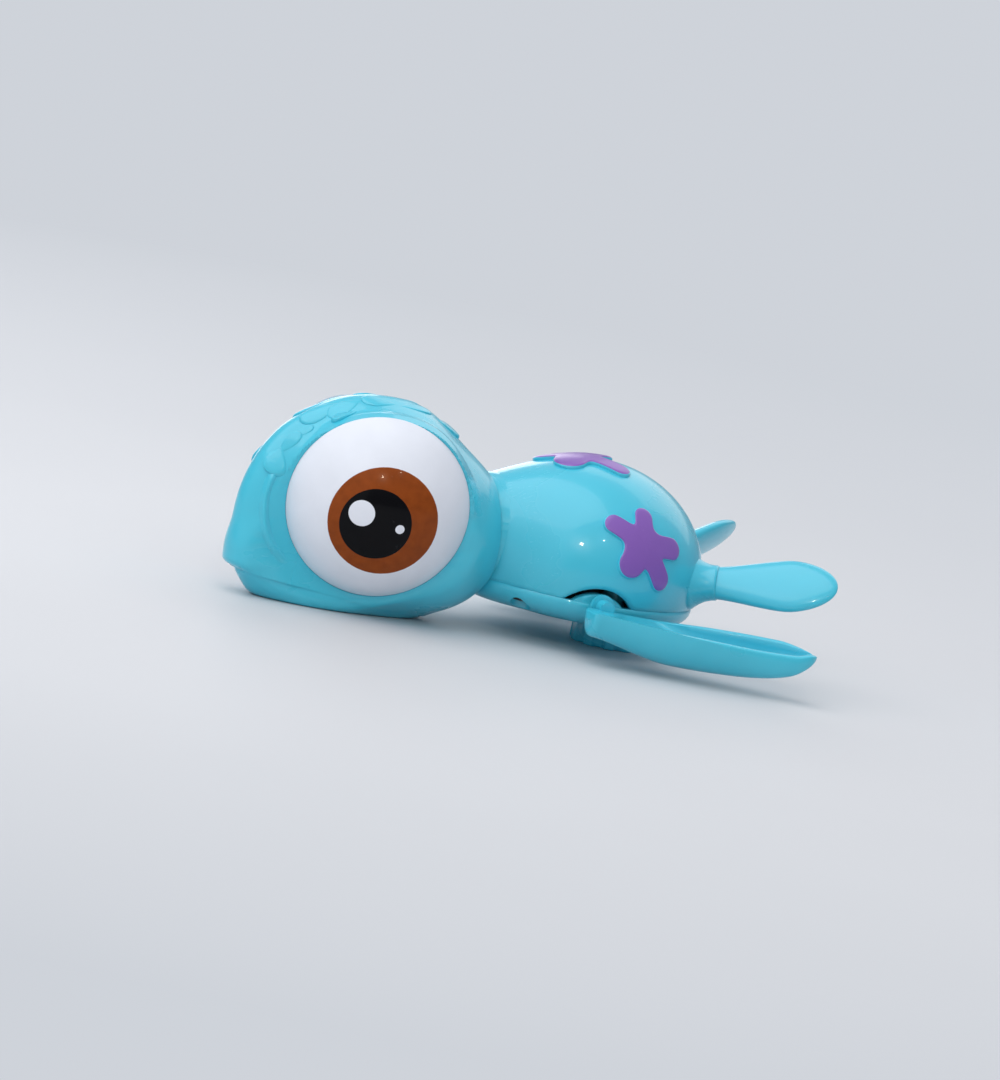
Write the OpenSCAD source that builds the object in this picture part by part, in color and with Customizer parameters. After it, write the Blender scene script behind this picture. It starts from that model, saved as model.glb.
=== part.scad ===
// Wind-up sea turtle bath toy.
// Two head mouldings hold a pair of domed eyes, two body mouldings hold a spring
// motor, and scoop flippers on one cross axle row the toy through the water.
// +X points to the nose, +Y to the toy's left and +Z up. The origin lies on the
// table, on the axis of the winding knob.

/* [Eyes] */
// Forward place of the eyeballs' centres
eye_x = 56.9; // [55:0.1:59]
// Distance of each eyeball's centre from the middle
eye_y = 1.7; // [1:0.1:3]
// Height of the eyeballs' centres
eye_z = 23.4; // [22.5:0.1:23.6]
// Radius of an eye's dome
eye_r = 20.5; // [20.3:0.1:21.5]
// Radius of an eye's rim
eye_rim_r = 18.3; // [16.5:0.1:18.6]
// Turn of an eye's axis away from straight ahead, in degrees
eye_turn = 73.3; // [68:0.1:82]
// Dip of an eye's axis below level, in degrees
eye_dip = 5; // [0:0.5:8]
// Wall of an eye's dome and skirt
eye_wall = 1.6; // [1.2:0.1:2.4]
// Overhang of an eye's rim over its socket
eye_lip = 0.6; // [0.3:0.1:1]
// Depth of an eye's skirt in its socket
eye_skirt = 3; // [2:0.1:4]
// How far a dome stands out of its socket
eye_proud = 0.6; // [0.3:0.1:0.9]

/* [Head] */
// Height of the mouth line under the eyes, where the jaw meets the head shell
mouth_z = 2.4; // [2.2:0.1:2.6]
// Rise of the mouth line towards the beak, in degrees
mouth_rise = 5.7; // [5:0.1:6.5]
// Centre of the forehead and beak
forehead_at = [61.5, 0, 16.5]; // [0:0.5:70]
// Half sizes of the forehead and beak
forehead_half = [24, 8.5, 26]; // [5:0.5:30]
// Centre of the cheeks
cheek_at = [65, 0, 9]; // [0:0.5:70]
// Half sizes of the cheeks
cheek_half = [19.5, 16, 10]; // [5:0.5:30]
// Centre of the back of the head
nape_at = [45.7, 0, 18.3]; // [0:0.5:70]
// Half sizes of the back of the head
nape_half = [18.5, 17.5, 17.5]; // [5:0.5:30]
// Width over which the lobes of a moulding run into each other
lobe_blend = 5; // [3:0.5:7]
// Wall of the head mouldings
head_wall = 2; // [1.6:0.1:2.2]
// Wall of the socket round an eye's skirt
socket_wall = 1.9; // [1.5:0.1:2]
// Overhang of the upper lip over the jaw
lip = 0.7; // [0.3:0.1:1]
// Forward place of the jaw screws
jaw_screw_x = 59; // [57:0.5:60]
// Distance of a jaw screw from the middle
jaw_screw_y = 4; // [3.8:0.1:4]

/* [Body] */
// Height of the domed body's centre
dome_z = 16; // [15.5:0.1:16.5]
// Half sizes of the domed body
dome_half = [24.3, 22, 21]; // [15:0.5:30]
// Room between the gearbox and the back of the domed body
rear_room = 2.1; // [1.5:0.1:3]
// Centre of the neck's swell
neck_at = [18, 0, 19.5]; // [0:0.5:30]
// Half sizes of the neck's swell
neck_half = [24, 13.9, 14]; // [10:0.5:30]
// Height of the seam between carapace and belly pan, and of the flipper axle
seam_z = 11; // [10.5:0.1:11.5]
// Height of the belly pan's flat underside
belly_z = 5.4; // [5.3:0.1:5.8]
// Wall of the body mouldings
body_wall = 1.8; // [1.4:0.1:2.2]
// Forward place of the body's front wall
body_front = 31; // [30.5:0.1:31]
// Radius of the neck tube
neck_r = 11.8; // [11:0.1:12]
// Wall of the neck tube
neck_wall = 2; // [1.4:0.1:3]
// Direction of the left front body screw from the domed body's centre, in degrees
front_screw_turn = 34.5; // [32:0.5:38]
// Direction of the left rear body screw from the domed body's centre, in degrees
rear_screw_turn = 122; // [118:0.5:124]
// Distance of the body screws inside the body's rim
body_screw_inset = 2.8; // [2.6:0.1:3]

/* [Axle arches] */
// Radius of the arch in the carapace over an axle end
arch_r = 9; // [8.5:0.1:10]
// Height of the arch's top above the seam
arch_rise = 3.3; // [3:0.1:4]
// Gap between the arch and the belly pan's tongue
arch_gap = 1.2; // [0.8:0.1:1.5]
// Distance of a tongue's outer face inside the domed body's widest line
tongue_inset = 1.5; // [1.4:0.1:2]
// Thickness of a tongue
tongue_t = 2.2; // [1.8:0.1:2.6]

/* [Starfish pads] */
// Height of a pad above the carapace
pad_h = 0.8; // [0.4:0.1:1.2]
// Radius of a pad's core
pad_core = 4.3; // [3.5:0.1:5]
// Softness of the corners between the arms
pad_soft = 1.6; // [0.5:0.1:2.5]

/* [Front flippers] */
// Length of a flipper's blade
blade_l = 45; // [38:0.5:48]
// Length of the blade ahead of the axle
blade_ahead = 4.6; // [3.5:0.1:5]
// Width of the scoop at its widest
blade_w = 13; // [10:0.5:15]
// Depth of the scoop at its deepest
blade_d = 7.9; // [6.5:0.1:8.2]
// Dip of the scoop's edge at its middle
blade_dip = 0.7; // [0:0.1:1.5]
// Wall of the scoop
blade_wall = 1.5; // [1.2:0.1:2]
// Sweep of the blade's tip away from the body
blade_sweep = 11.5; // [8:0.5:14]
// Gap between the domed body's widest line and the blade's inner edge, at the root
blade_gap = 2.2; // [2.1:0.1:3]
// Radius of a flipper's hub
hub_r = 1.7; // [1.6:0.1:2]
// Radius of the collar on a flipper's hub
collar_r = 2.4; // [2.2:0.1:3]
// Length of the collar on a flipper's hub
collar_l = 0.8; // [0.6:0.1:1]
// Gap between a tongue and a flipper's hub
hub_gap = 1.3; // [1:0.1:1.6]

/* [Rear legs] */
// Place where a left leg's axis leaves the carapace
leg_root = [-12, 12.4, 17.2]; // [-30:0.1:30]
// Length of a leg
leg_l = 28; // [20:0.5:30]
// Splay of a leg from straight back, in degrees
leg_splay = 34; // [25:1:40]
// Rise of a leg above level, in degrees
leg_rise = 10.5; // [5:0.5:15]
// Width of a leg's paddle
leg_w = 12.4; // [8:0.5:13]
// Thickness of a leg's paddle
leg_t = 4; // [3:0.1:5]
// Bank of the paddle, in degrees
leg_bank = 50; // [30:1:70]
// Radius of the peg that plugs a leg into the carapace
leg_peg_r = 1.7; // [1.5:0.1:1.8]
// Depth of the peg below the leg's root
leg_peg_l = 2; // [1.5:0.1:2.2]

/* [Motor] */
// Gear module of the train
gear_m = 0.5; // [0.48:0.01:0.5]
// Pressure angle of the teeth, in degrees
pressure_angle = 20; // [18:1:22]
// Teeth of the main wheel
main_teeth = 40; // [36:1:40]
// Teeth of the pinion under the crown wheel's drive
crown_pinion_teeth = 10; // [9:1:10]
// Teeth of the crown wheel
crown_teeth = 32; // [28:4:32]
// Teeth of the axle pinion
axle_pinion_teeth = 8; // [8:1:8]
// Thickness of the main wheel
main_t = 2; // [1.6:0.1:2]
// Radius of the flipper axle
axle_r = 1; // [0.8:0.05:1]
// Radius of the winding arbor
arbor_r = 1.5; // [1.2:0.05:1.6]
// Radius of the crown wheel's pin
pin_r = 0.8; // [0.7:0.05:0.9]
// Width of the mainspring's strip
spring_w = 5; // [4:0.1:5]
// Thickness of the mainspring's strip
spring_t = 0.35; // [0.25:0.05:0.4]
// Turns of the mainspring
spring_turns = 6; // [4:1:7]
// Wall of the gearbox
case_wall = 1; // [0.8:0.05:1]
// Teeth of the ratchet wheel
ratchet_teeth = 12; // [8:1:14]

/* [Winding knob] */
// Radius of the knob
knob_r = 7.5; // [7:0.5:9]
// Height of the knob's disc
knob_h = 4.8; // [4:0.1:4.9]
// Grip flutes round the knob
knob_flutes = 10; // [8:1:12]
// Radius of a grip flute
flute_r = 1.4; // [1:0.1:1.8]
// Radius of the knob's stem
stem_r = 2.6; // [2.4:0.1:3]

/* [Screws and fits] */
// Radius of a screw's shank
screw_r = 1.1; // [0.9:0.05:1.2]
// Radius of a screw's head
screw_head_r = 2.1; // [1.8:0.1:2.3]
// Height of a screw's head
screw_head_h = 1.3; // [1:0.1:1.4]
// Thickness of plastic under the head of a body screw
body_screw_floor = 1.4; // [1.2:0.1:1.6]
// Thickness of plastic under the head of a jaw screw
jaw_screw_floor = 1; // [0.8:0.1:1.1]
// How far a body screw's shank goes into its post
body_screw_bite = 4.2; // [3:0.1:4.4]
// How far a jaw screw's shank goes into its post
jaw_screw_bite = 4.4; // [3:0.1:5]
// Radial room of a running fit
run_fit = 0.04; // [0.02:0.01:0.08]
// Room round a piece that is set into another
fit = 0.1; // [0.05:0.01:0.2]
// Room between pieces that pass each other
gap = 0.3; // [0.2:0.05:0.4]

/* [Hidden] */
$fn = 48;

turquoise = "#4FC3DC";
purple = "#8B5CB8";
eye_white = "#EEF1FA";
motor_white = "#E9E6DC";
motor_grey = "#8F969C";
steel = "#B9BDC2";
seal_black = "#2B2D30";

// Grid of the lofted mouldings: points round, and rings from rim to crown
round_n = 52;
head_rings = 20;
dome_rings = 12;
dish_rings = 5;
dish_power = 2.6;
dish_sag = 0.5;

tooth_tip = 0.8 * gear_m;
tooth_foot = 1.1 * gear_m;
main_room = gear_m * main_teeth / 2 + tooth_tip + 0.4;

eye_rim_d = sqrt(eye_r * eye_r - eye_rim_r * eye_rim_r);
eye_skirt_r = eye_rim_r - eye_lip - fit;
socket_r = eye_r - eye_proud;
head_from = [eye_x, 0, 16.5];
head_lobes = [
    [[eye_x, 0, eye_z], [socket_r, socket_r + eye_y, socket_r]],
    [forehead_at, forehead_half],
    [cheek_at, cheek_half],
    [nape_at, nape_half]
];
jaw_post_r = 2.1;
jaw_post_z = mouth_z + jaw_screw_bite + 1.2;
jaw_seat_z = mouth_z - jaw_screw_floor;

dome_rear = main_room + case_wall + body_wall + rear_room;
dome_at = [dome_half.x - dome_rear, 0, dome_z];
body_from = [dome_at.x, 0, seam_z];
body_lobes = [[dome_at, dome_half], [neck_at, neck_half]];
body_screws_at = [
    for (turn = [front_screw_turn, rear_screw_turn])
        let (d = heading(turn, 0), p = body_from + d * (reach(body_from, d, body_lobes) - body_screw_inset))
        [p.x, p.y]
];
neck_z = neck_at.z;
neck_end = 39.4;
neck_flange_t = 1.2;
neck_flange_r = neck_r + 0.6;
arch_z = seam_z + arch_rise - arch_r;
tongue_r = arch_r - arch_gap;
tongue_y = dome_half.y - tongue_inset;
boss_r = screw_head_r + fit + 0.8;
boss_bottom = seam_z - 2;
body_seat_z = seam_z - body_screw_floor;
post_r = 2.4;

axle_z = seam_z;
axle_x = gear_m * (main_teeth + crown_pinion_teeth) / 2;
blade_y = dome_half.y + blade_gap;
axle_half = blade_y + 0.6;
crown_r = gear_m * crown_teeth / 2;
crown_face = 1.6;
axle_pinion_r = gear_m * axle_pinion_teeth / 2;
crown_pitch_z = axle_z + axle_pinion_r;
crown_disc_z = crown_pitch_z + gear_m;
crown_disc_t = 1.2;
main_z = crown_disc_z + crown_disc_t + 0.7;
crown_pinion_h = main_z + main_t + gap - crown_disc_z - crown_disc_t / 2;
ratchet_z = main_z + main_t + 0.2;
ratchet_t = 1;
ratchet_r = 4.2;
case_top_z = main_z + main_t + 0.6;
plate_z = ratchet_z + ratchet_t + 0.2;
plate_t = 0.3;
spring_z = plate_z + plate_t + 0.1;
barrel_top_z = spring_z + spring_w + 0.4;
cover_t = 1.2;
crown_room = crown_r + crown_face / 2 + 0.2;
barrel_r = main_room - 1.2;
base_z = seam_z - 2.4;
floor_t = 1.2;
step_z = main_z - 0.4;
low_room = 6.6;
bridge_half = [3.5, crown_r - crown_face / 2 - 1.7];
ear_at = [axle_x / 2, main_room + case_wall + 1.2];
ear_r = 2.6;
bush_r = 1.7;
bush_flange_r = bush_r + 0.3;
bush_flange_t = 0.8;
seal_r = 4;
seal_top_z = belly_z + 2.2;
arbor_foot_z = 2;

// Distance from p along d to the far side of an ellipsoid
function exit_reach(p, d, at, half) =
    let (q = [for (i = [0:2]) (p[i] - at[i]) / half[i]])
    let (e = [for (i = [0:2]) d[i] / half[i]])
    let (b = q * e, a = e * e)
    (sqrt(max(b * b - a * (q * q - 1), 0)) - b) / a;

// Larger of two lengths, with a soft change where they differ by less than w
function soft_max(a, b, w) = max(a, b) + pow(max(w - abs(a - b), 0), 2) / (4 * w);

// Reach of blended lobes from p along d
function reach(p, d, lobes, i = 0) =
    let (r = exit_reach(p, d, lobes[i][0], lobes[i][1]))
    i == len(lobes) - 1 ? r : soft_max(r, reach(p, d, lobes, i + 1), lobe_blend);

function heading(turn, lift) = [cos(lift) * cos(turn), cos(lift) * sin(turn), sin(lift)];
function unit(v) = v / norm(v);
function ease(a, b, t) = let (k = min(max((t - a) / (b - a), 0), 1)) k * k * (3 - 2 * k);
function mix(a, b, t) = a * (1 - t) + b * t;

// Triangles between ring a and ring b of n points, and from ring a to a tip
function ring_faces(a, b, n) = [
    for (i = [0:n - 1]) let (k = (i + 1) % n) each [[a + i, b + i, b + k], [a + i, b + k, a + k]]
];
function fan_faces(a, tip, n) = [for (i = [0:n - 1]) [a + i, tip, a + (i + 1) % n]];
function turned(faces) = [for (f = faces) [f[0], f[2], f[1]]];

// Solid through a row of rings, closed at a first and a last tip
module loft(rings, first_tip, last_tip) {
    n = len(rings[0]);
    m = len(rings);
    points = concat([for (r = rings) each r], [first_tip, last_tip]);
    sides = [for (j = [0:m - 2]) each ring_faces(j * n, (j + 1) * n, n)];
    ends = concat(turned(fan_faces(0, n * m, n)), fan_faces((m - 1) * n, n * m + 1, n));
    polyhedron(points, concat(sides, ends));
}

// Point of a moulding's upper skin, set in by a wall and kept behind a front wall
function dome_point(from, lobes, turn, lift, wall, front) =
    let (d = heading(turn, lift), p = from + d * (reach(from, d, lobes) - wall))
    [min(p.x, front - wall), p.y, p.z];

function dome_ring(from, lobes, lift, wall, front) = [
    for (i = [0:round_n - 1]) dome_point(from, lobes, 360 * i / round_n, lift, wall, front)
];

// Whole moulding as a solid, set in by a wall and by a lip that fades from front to back
module lobed_solid(from, lobes, wall, over, n, m) {
    rings = [
        for (j = [1:m - 1])
            [
                for (i = [0:n - 1])
                    let (d = heading(360 * i / n, 180 * j / m - 90))
                    let (p = from + d * (reach(from, d, lobes) - wall - over * (0.3 + 0.7 * max(d.x, 0))))
                    [p.x, p.y, max(p.z, wall)]
            ]
    ];
    top = [0, 0, reach(from, [0, 0, 1], lobes) - wall];
    loft(rings, [from.x, from.y, wall], from + top);
}

// Upper half of a moulding: a wall between an outer and an inner skin over the rim's plane
module dome_shell(from, lobes, wall, front) {
    lifts = [for (j = [0:dome_rings - 1]) 90 * j / dome_rings];
    inner = [for (j = [dome_rings - 1:-1:0]) dome_ring(from, lobes, lifts[j], wall, front)];
    outer = [for (lift = lifts) dome_ring(from, lobes, lift, 0, front)];
    loft(
        concat(inner, outer),
        dome_point(from, lobes, 0, 90, wall, front),
        dome_point(from, lobes, 0, 90, 0, front)
    );
}

// Outside of an upper half as a solid on the rim's plane
module dome_solid(from, lobes, front) {
    outer = [for (j = [0:dome_rings - 1]) dome_ring(from, lobes, 90 * j / dome_rings, 0, front)];
    loft(outer, from, dome_point(from, lobes, 0, 90, 0, front));
}

// Point of a lower half, whose rim follows the upper half
function dish_point(from, lobes, turn, drop, depth, wall, front) =
    let (rim = reach(from, heading(turn, 0), lobes) - wall)
    let (deep = depth + dish_sag - wall)
    let (k = pow(cos(drop) / rim, dish_power) + pow(sin(drop) / deep, dish_power))
    let (p = from + heading(turn, -drop) * pow(k, -1 / dish_power))
    [min(p.x, front - wall), p.y, max(p.z, from.z - depth + wall)];

function dish_ring(from, lobes, drop, depth, wall, front) = [
    for (i = [0:round_n - 1]) dish_point(from, lobes, -360 * i / round_n, drop, depth, wall, front)
];

// Lower half of a moulding: a shallow dish with a flat bottom
module dish_shell(from, lobes, depth, wall, front) {
    drops = [for (j = [0:dish_rings - 1]) 90 * pow(j / dish_rings, 1.3)];
    inner = [
        for (j = [dish_rings - 1:-1:0]) dish_ring(from, lobes, drops[j], depth, wall, front)
    ];
    outer = [for (drop = drops) dish_ring(from, lobes, drop, depth, 0, front)];
    loft(concat(inner, outer), from - [0, 0, depth - wall], from - [0, 0, depth]);
}

module on_eye(side) {
    translate([eye_x, side * eye_y, eye_z])
        rotate([0, 90 + eye_dip, side * eye_turn])
            children();
}

module along_x(from_x, z) {
    translate([from_x, 0, z])
        rotate([0, 90, 0])
            children();
}

// Puts a cylinder's axis along +Y at the flipper axle
module along_axle(from_y, z) {
    translate([axle_x, from_y, z])
        rotate([-90, 0, 0])
            children();
}

module screw(length) {
    cylinder(r = screw_head_r, h = screw_head_h);
    cylinder(r = screw_r, h = screw_head_h + length);
}

// Head

// Everything on one side of the mouth line's plane
module mouth_block(side) {
    translate([eye_x, 0, mouth_z])
        rotate([0, -mouth_rise, 0])
            translate([-60, -60, side > 0 ? 0 : -120])
                cube(120);
}

module head_shell() {
    color(turquoise)
        difference() {
            lobed_solid(head_from, head_lobes, 0, 0, round_n, head_rings);
            difference() {
                lobed_solid(head_from, head_lobes, head_wall, 0, 32, 12);
                for (side = [-1, 1]) {
                    on_eye(side)
                        translate([0, 0, eye_rim_d - eye_skirt - 0.7])
                            cylinder(r = eye_rim_r - eye_lip + socket_wall, h = eye_r);
                    translate([jaw_screw_x, side * jaw_screw_y, 0])
                        cylinder(r = jaw_post_r, h = jaw_post_z);
                }
            }
            for (side = [-1, 1]) {
                on_eye(side) {
                    translate([0, 0, eye_rim_d - eye_skirt - 0.5])
                        cylinder(r = eye_rim_r - eye_lip, h = eye_r);
                    translate([0, 0, eye_rim_d - fit])
                        cylinder(r = eye_rim_r + fit, h = eye_r);
                }
                translate([jaw_screw_x, side * jaw_screw_y, 0])
                    cylinder(r = screw_r, h = jaw_post_z - 0.6);
            }
            along_x(nape_at.x - 2 * nape_half.x, neck_z)
                cylinder(r = neck_r + gap, h = 2 * nape_half.x);
            mouth_block(-1);
        }
}

module jaw() {
    color(turquoise)
        difference() {
            lobed_solid(head_from, head_lobes, 0, lip, round_n, head_rings);
            difference() {
                lobed_solid(head_from, head_lobes, head_wall, lip, 32, 12);
                for (side = [-1, 1])
                    translate([jaw_screw_x, side * jaw_screw_y, 0])
                        cylinder(r = screw_head_r + fit + 0.5, h = 2 * mouth_z);
            }
            for (side = [-1, 1])
                translate([jaw_screw_x, side * jaw_screw_y, -1]) {
                    cylinder(r = screw_head_r + fit, h = jaw_seat_z + 1);
                    cylinder(r = screw_r + fit, h = 2 * mouth_z);
                }
            mouth_block(1);
        }
}

module eye(side) {
    color(eye_white)
        on_eye(side)
            difference() {
                union() {
                    intersection() {
                        sphere(r = eye_r);
                        translate([0, 0, eye_rim_d])
                            cylinder(r = eye_rim_r + 1, h = eye_r);
                    }
                    translate([0, 0, eye_rim_d - eye_skirt])
                        cylinder(r = eye_skirt_r, h = eye_skirt + eye_wall / 2);
                }
                intersection() {
                    sphere(r = eye_r - eye_wall);
                    cylinder(r = eye_skirt_r - eye_wall, h = eye_r);
                }
            }
}

module jaw_screws() {
    color(steel)
        for (side = [-1, 1])
            translate([jaw_screw_x, side * jaw_screw_y, jaw_seat_z - screw_head_h])
                screw(jaw_screw_floor + jaw_screw_bite);
}

// Body

// Height of the domed body's outside over the outer edge of a screw post
function post_top(at) =
    let (off = at - [dome_at.x, 0], edge = off * (1 + post_r / norm(off)))
    let (u = edge.x / dome_half.x, v = edge.y / dome_half.y)
    dome_at.z + dome_half.z * sqrt(max(1 - u * u - v * v, 0));

// Reach of a round-ended arm from the pad's middle, off degrees away from the arm's direction
function arm_reach(off, long, half) =
    cos(off) <= 0 ? half
    : half * cos(off) <= long * abs(sin(off)) ? half / abs(sin(off))
    : long * cos(off) + sqrt(half * half - pow(long * sin(off), 2));

// Edge of a starfish pad: a round core with the arms run into it
function pad_edge(t, arms, i = 0) =
    i == len(arms) ? pad_core
    : soft_max(arm_reach(t - arms[i][0], arms[i][1], arms[i][2]), pad_edge(t, arms, i + 1), pad_soft);

// Raised pad that follows the carapace: arms are [direction, length to the end's centre, half width]
module starfish_pad(at, arms) {
    n = 40;
    out = unit([for (i = [0:2]) (at[i] - dome_at[i]) / pow(dome_half[i], 2)]);
    across = unit(cross([0, 0.02, 1], out));
    up = cross(out, across);
    shares = [1, 1, 0.88, 0.5];
    heights = [-body_wall / 2, pad_h / 2, pad_h, pad_h];
    rings = [
        for (k = [0:3])
            [
                for (i = [0:n - 1])
                    let (t = 360 * i / n, r = shares[k] * pad_edge(t, arms))
                    let (d = unit(at + r * (cos(t) * across + sin(t) * up) - body_from))
                    body_from + d * (reach(body_from, d, body_lobes) + heights[k])
            ]
    ];
    middle = unit(at - body_from);
    middle_r = reach(body_from, middle, body_lobes);
    loft(
        rings,
        body_from + middle * (middle_r - body_wall / 2),
        body_from + middle * (middle_r + pad_h)
    );
}

flank_at = [5.6, 20.4, 24.2];
flank_arms = [[147, 8, 2.1], [85, 6.6, 2.1], [2, 7.7, 2.4], [307, 8.6, 2.2], [238, 4.9, 2.9]];
top_at = [14, -0.5, 36.6];
top_arms = [[328, 4.4, 3.4], [54, 10.2, 2.2], [120, 6.6, 2], [171, 6.6, 2], [251, 7.2, 2.3]];

module mirrored_y() {
    children();
    mirror([0, 1, 0])
        children();
}

module neck_tube() {
    difference() {
        union() {
            along_x(body_front - body_wall, neck_z)
                cylinder(r = neck_r, h = neck_end - body_front + body_wall);
            along_x(neck_end - neck_flange_t, neck_z)
                cylinder(r = neck_flange_r, h = neck_flange_t);
        }
        along_x(body_front, neck_z)
            cylinder(r = neck_r - neck_wall, h = neck_end);
    }
}

// Places a peg hole or a leg along the left leg's axis, with +X outward
module on_leg() {
    translate(leg_root)
        rotate([0, -leg_rise, 180 - leg_splay])
            children();
}

module carapace() {
    color(turquoise)
        difference() {
            union() {
                dome_shell(body_from, body_lobes, body_wall, body_front);
                intersection() {
                    neck_tube();
                    translate([0, -neck_r * 2, seam_z])
                        cube([neck_end * 2, neck_r * 4, neck_r * 4]);
                }
                for (at = body_screws_at)
                    mirrored_y()
                        translate([at.x, at.y, seam_z])
                            cylinder(r = post_r, h = post_top(at) - body_wall / 2 - seam_z);
            }
            along_axle(-dome_half.y * 2, arch_z)
                cylinder(r = arch_r, h = dome_half.y * 4);
            mirrored_y()
                on_leg()
                    rotate([0, 90, 0])
                        translate([0, 0, -dome_half.y / 3])
                            cylinder(r = leg_peg_r + fit, h = dome_half.y);
            for (at = body_screws_at)
                mirrored_y()
                    translate([at.x, at.y, seam_z - 1])
                        cylinder(r = screw_r, h = body_screw_bite + 2);
        }
    color(purple) {
        mirrored_y()
            starfish_pad(flank_at, flank_arms);
        starfish_pad(top_at, top_arms);
    }
}

// Upright tongues under the arches, and the screws' bosses inside the rim
module tongues_and_bosses() {
    mirrored_y()
        intersection() {
            along_axle(tongue_y - tongue_t, arch_z)
                cylinder(r = tongue_r, h = tongue_t);
            translate([axle_x - arch_r, 0, seam_z - 1.7])
                cube([2 * arch_r, dome_half.y, arch_r]);
        }
    for (at = body_screws_at)
        mirrored_y()
            translate([at.x, at.y, boss_bottom])
                cylinder(r = boss_r, h = seam_z - boss_bottom);
}

module belly_pan() {
    color(turquoise)
        difference() {
            union() {
                dish_shell(body_from, body_lobes, seam_z - belly_z, body_wall, body_front);
                intersection() {
                    neck_tube();
                    translate([0, -neck_r * 2, seam_z - neck_r * 4])
                        cube([neck_end * 2, neck_r * 4, neck_r * 4]);
                }
                intersection() {
                    tongues_and_bosses();
                    lobed_solid(body_from, body_lobes, fit, 0, 32, 12);
                }
                mirrored_y()
                    translate([ear_at.x, ear_at.y, base_z - 1.6])
                        cylinder(r = post_r, h = step_z - 0.1 - base_z + 1.6);
                translate([0, 0, belly_z + body_wall / 2])
                    cylinder(r = seal_r + 2, h = base_z - belly_z - body_wall / 2);
            }
            for (at = body_screws_at)
                mirrored_y()
                    translate([at.x, at.y, 0]) {
                        cylinder(r = screw_head_r + fit, h = body_seat_z);
                        cylinder(r = screw_r + fit, h = seam_z + 1);
                    }
            mirrored_y() {
                along_axle(tongue_y - tongue_t - 1, axle_z)
                    cylinder(r = bush_r + fit / 2, h = tongue_t + 2);
                along_axle(tongue_y - tongue_t - bush_flange_t - gap, axle_z)
                    cylinder(r = bush_flange_r + fit, h = bush_flange_t + gap);
                translate([ear_at.x, ear_at.y, base_z])
                    cylinder(r = screw_r, h = step_z - base_z + 1);
            }
            cylinder(r = seal_r, h = seal_top_z);
            cylinder(r = stem_r + gap, h = base_z + 1);
        }
}

module body_screws() {
    color(steel)
        for (at = body_screws_at)
            mirrored_y()
                translate([at.x, at.y, body_seat_z - screw_head_h])
                    screw(body_screw_floor + body_screw_bite);
}

// Rear leg: a banked paddle that widens from its root, cut to the carapace, with a round peg
module rear_leg() {
    n = 16;
    m = 10;
    start = -2;
    color(turquoise) {
        difference() {
            on_leg()
                rotate([leg_bank, 0, 0])
                    loft(
                        [
                            for (j = [0:m])
                                let (s = 0.985 * j / m, flare = 1 + 0.3 * (1 - ease(0.05, 0.3, s)))
                                let (close = sqrt(1 - pow(max(s - 0.62, 0) / 0.38, 2)))
                                let (half_w = leg_w / 2 * mix(0.54, 1, ease(0.05, 0.75, s)) * close)
                                let (half_t = leg_t / 2 * flare * close)
                                [
                                    for (i = [0:n - 1])
                                        let (a = 360 * i / n)
                                        [mix(start, leg_l, s), half_w * cos(a), half_t * sin(a)]
                                ]
                        ],
                        [start, 0, 0],
                        [leg_l, 0, 0]
                    );
            dome_solid(body_from, body_lobes, body_front);
        }
        on_leg()
            rotate([0, 90, 0])
                translate([0, 0, -leg_peg_l])
                    cylinder(r = leg_peg_r, h = leg_peg_l + 2.5);
    }
}

// Spring motor

function involute(a) = tan(a) - a * PI / 180;

// Outline of a spur gear with straight feet below the base circle
function gear_outline(teeth, tip, foot, play) =
    let (r = gear_m * teeth / 2, base = r * cos(pressure_angle))
    let (half = (PI * gear_m / 2 - play) / (2 * r) * 180 / PI)
    let (low = max(base, r - foot))
    [
        for (k = [0:teeth - 1])
            let (mid = 360 * k / teeth)
            each concat(
                [[r - foot, mid - half - involute(pressure_angle) * 180 / PI]],
                [for (s = [0:3]) gear_flank(base, low, r + tip, s / 3, mid, half, -1)],
                [for (s = [3:-1:0]) gear_flank(base, low, r + tip, s / 3, mid, half, 1)],
                [[r - foot, mid + half + involute(pressure_angle) * 180 / PI]]
            )
    ];

// Polar point on one flank of a tooth
function gear_flank(base, low, high, s, mid, half, side) =
    let (r = mix(low, high, s), a = acos(min(base / r, 1)))
    [r, mid + side * (half + (involute(pressure_angle) - involute(a)) * 180 / PI)];

module spur(teeth, play, h) {
    linear_extrude(height = h)
        polygon([
            for (p = gear_outline(teeth, tooth_tip, tooth_foot, play)) p[0] * [cos(p[1]), sin(p[1])]
        ]);
}

// Outline round the main wheel and the crown wheel: two circles and a waist a little inside them
module case_outline(main_r, front_r) {
    circle(r = main_r);
    translate([axle_x, 0])
        circle(r = front_r);
    polygon([
        [0, 0.97 * main_r],
        [axle_x, 0.97 * front_r],
        [axle_x, -0.97 * front_r],
        [0, -0.97 * main_r]
    ]);
}

module case_block(main_r, front_r, from_z, to_z) {
    translate([0, 0, from_z])
        linear_extrude(height = to_z - from_z)
            case_outline(main_r, front_r);
}

module ears(from_z, to_z) {
    mirrored_y()
        translate([ear_at.x, ear_at.y, from_z])
            cylinder(r = ear_r, h = to_z - from_z);
}

module ear_holes(from_z, to_z) {
    mirrored_y()
        translate([ear_at.x, ear_at.y, from_z])
            cylinder(r = screw_r + fit, h = to_z - from_z);
}

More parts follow.
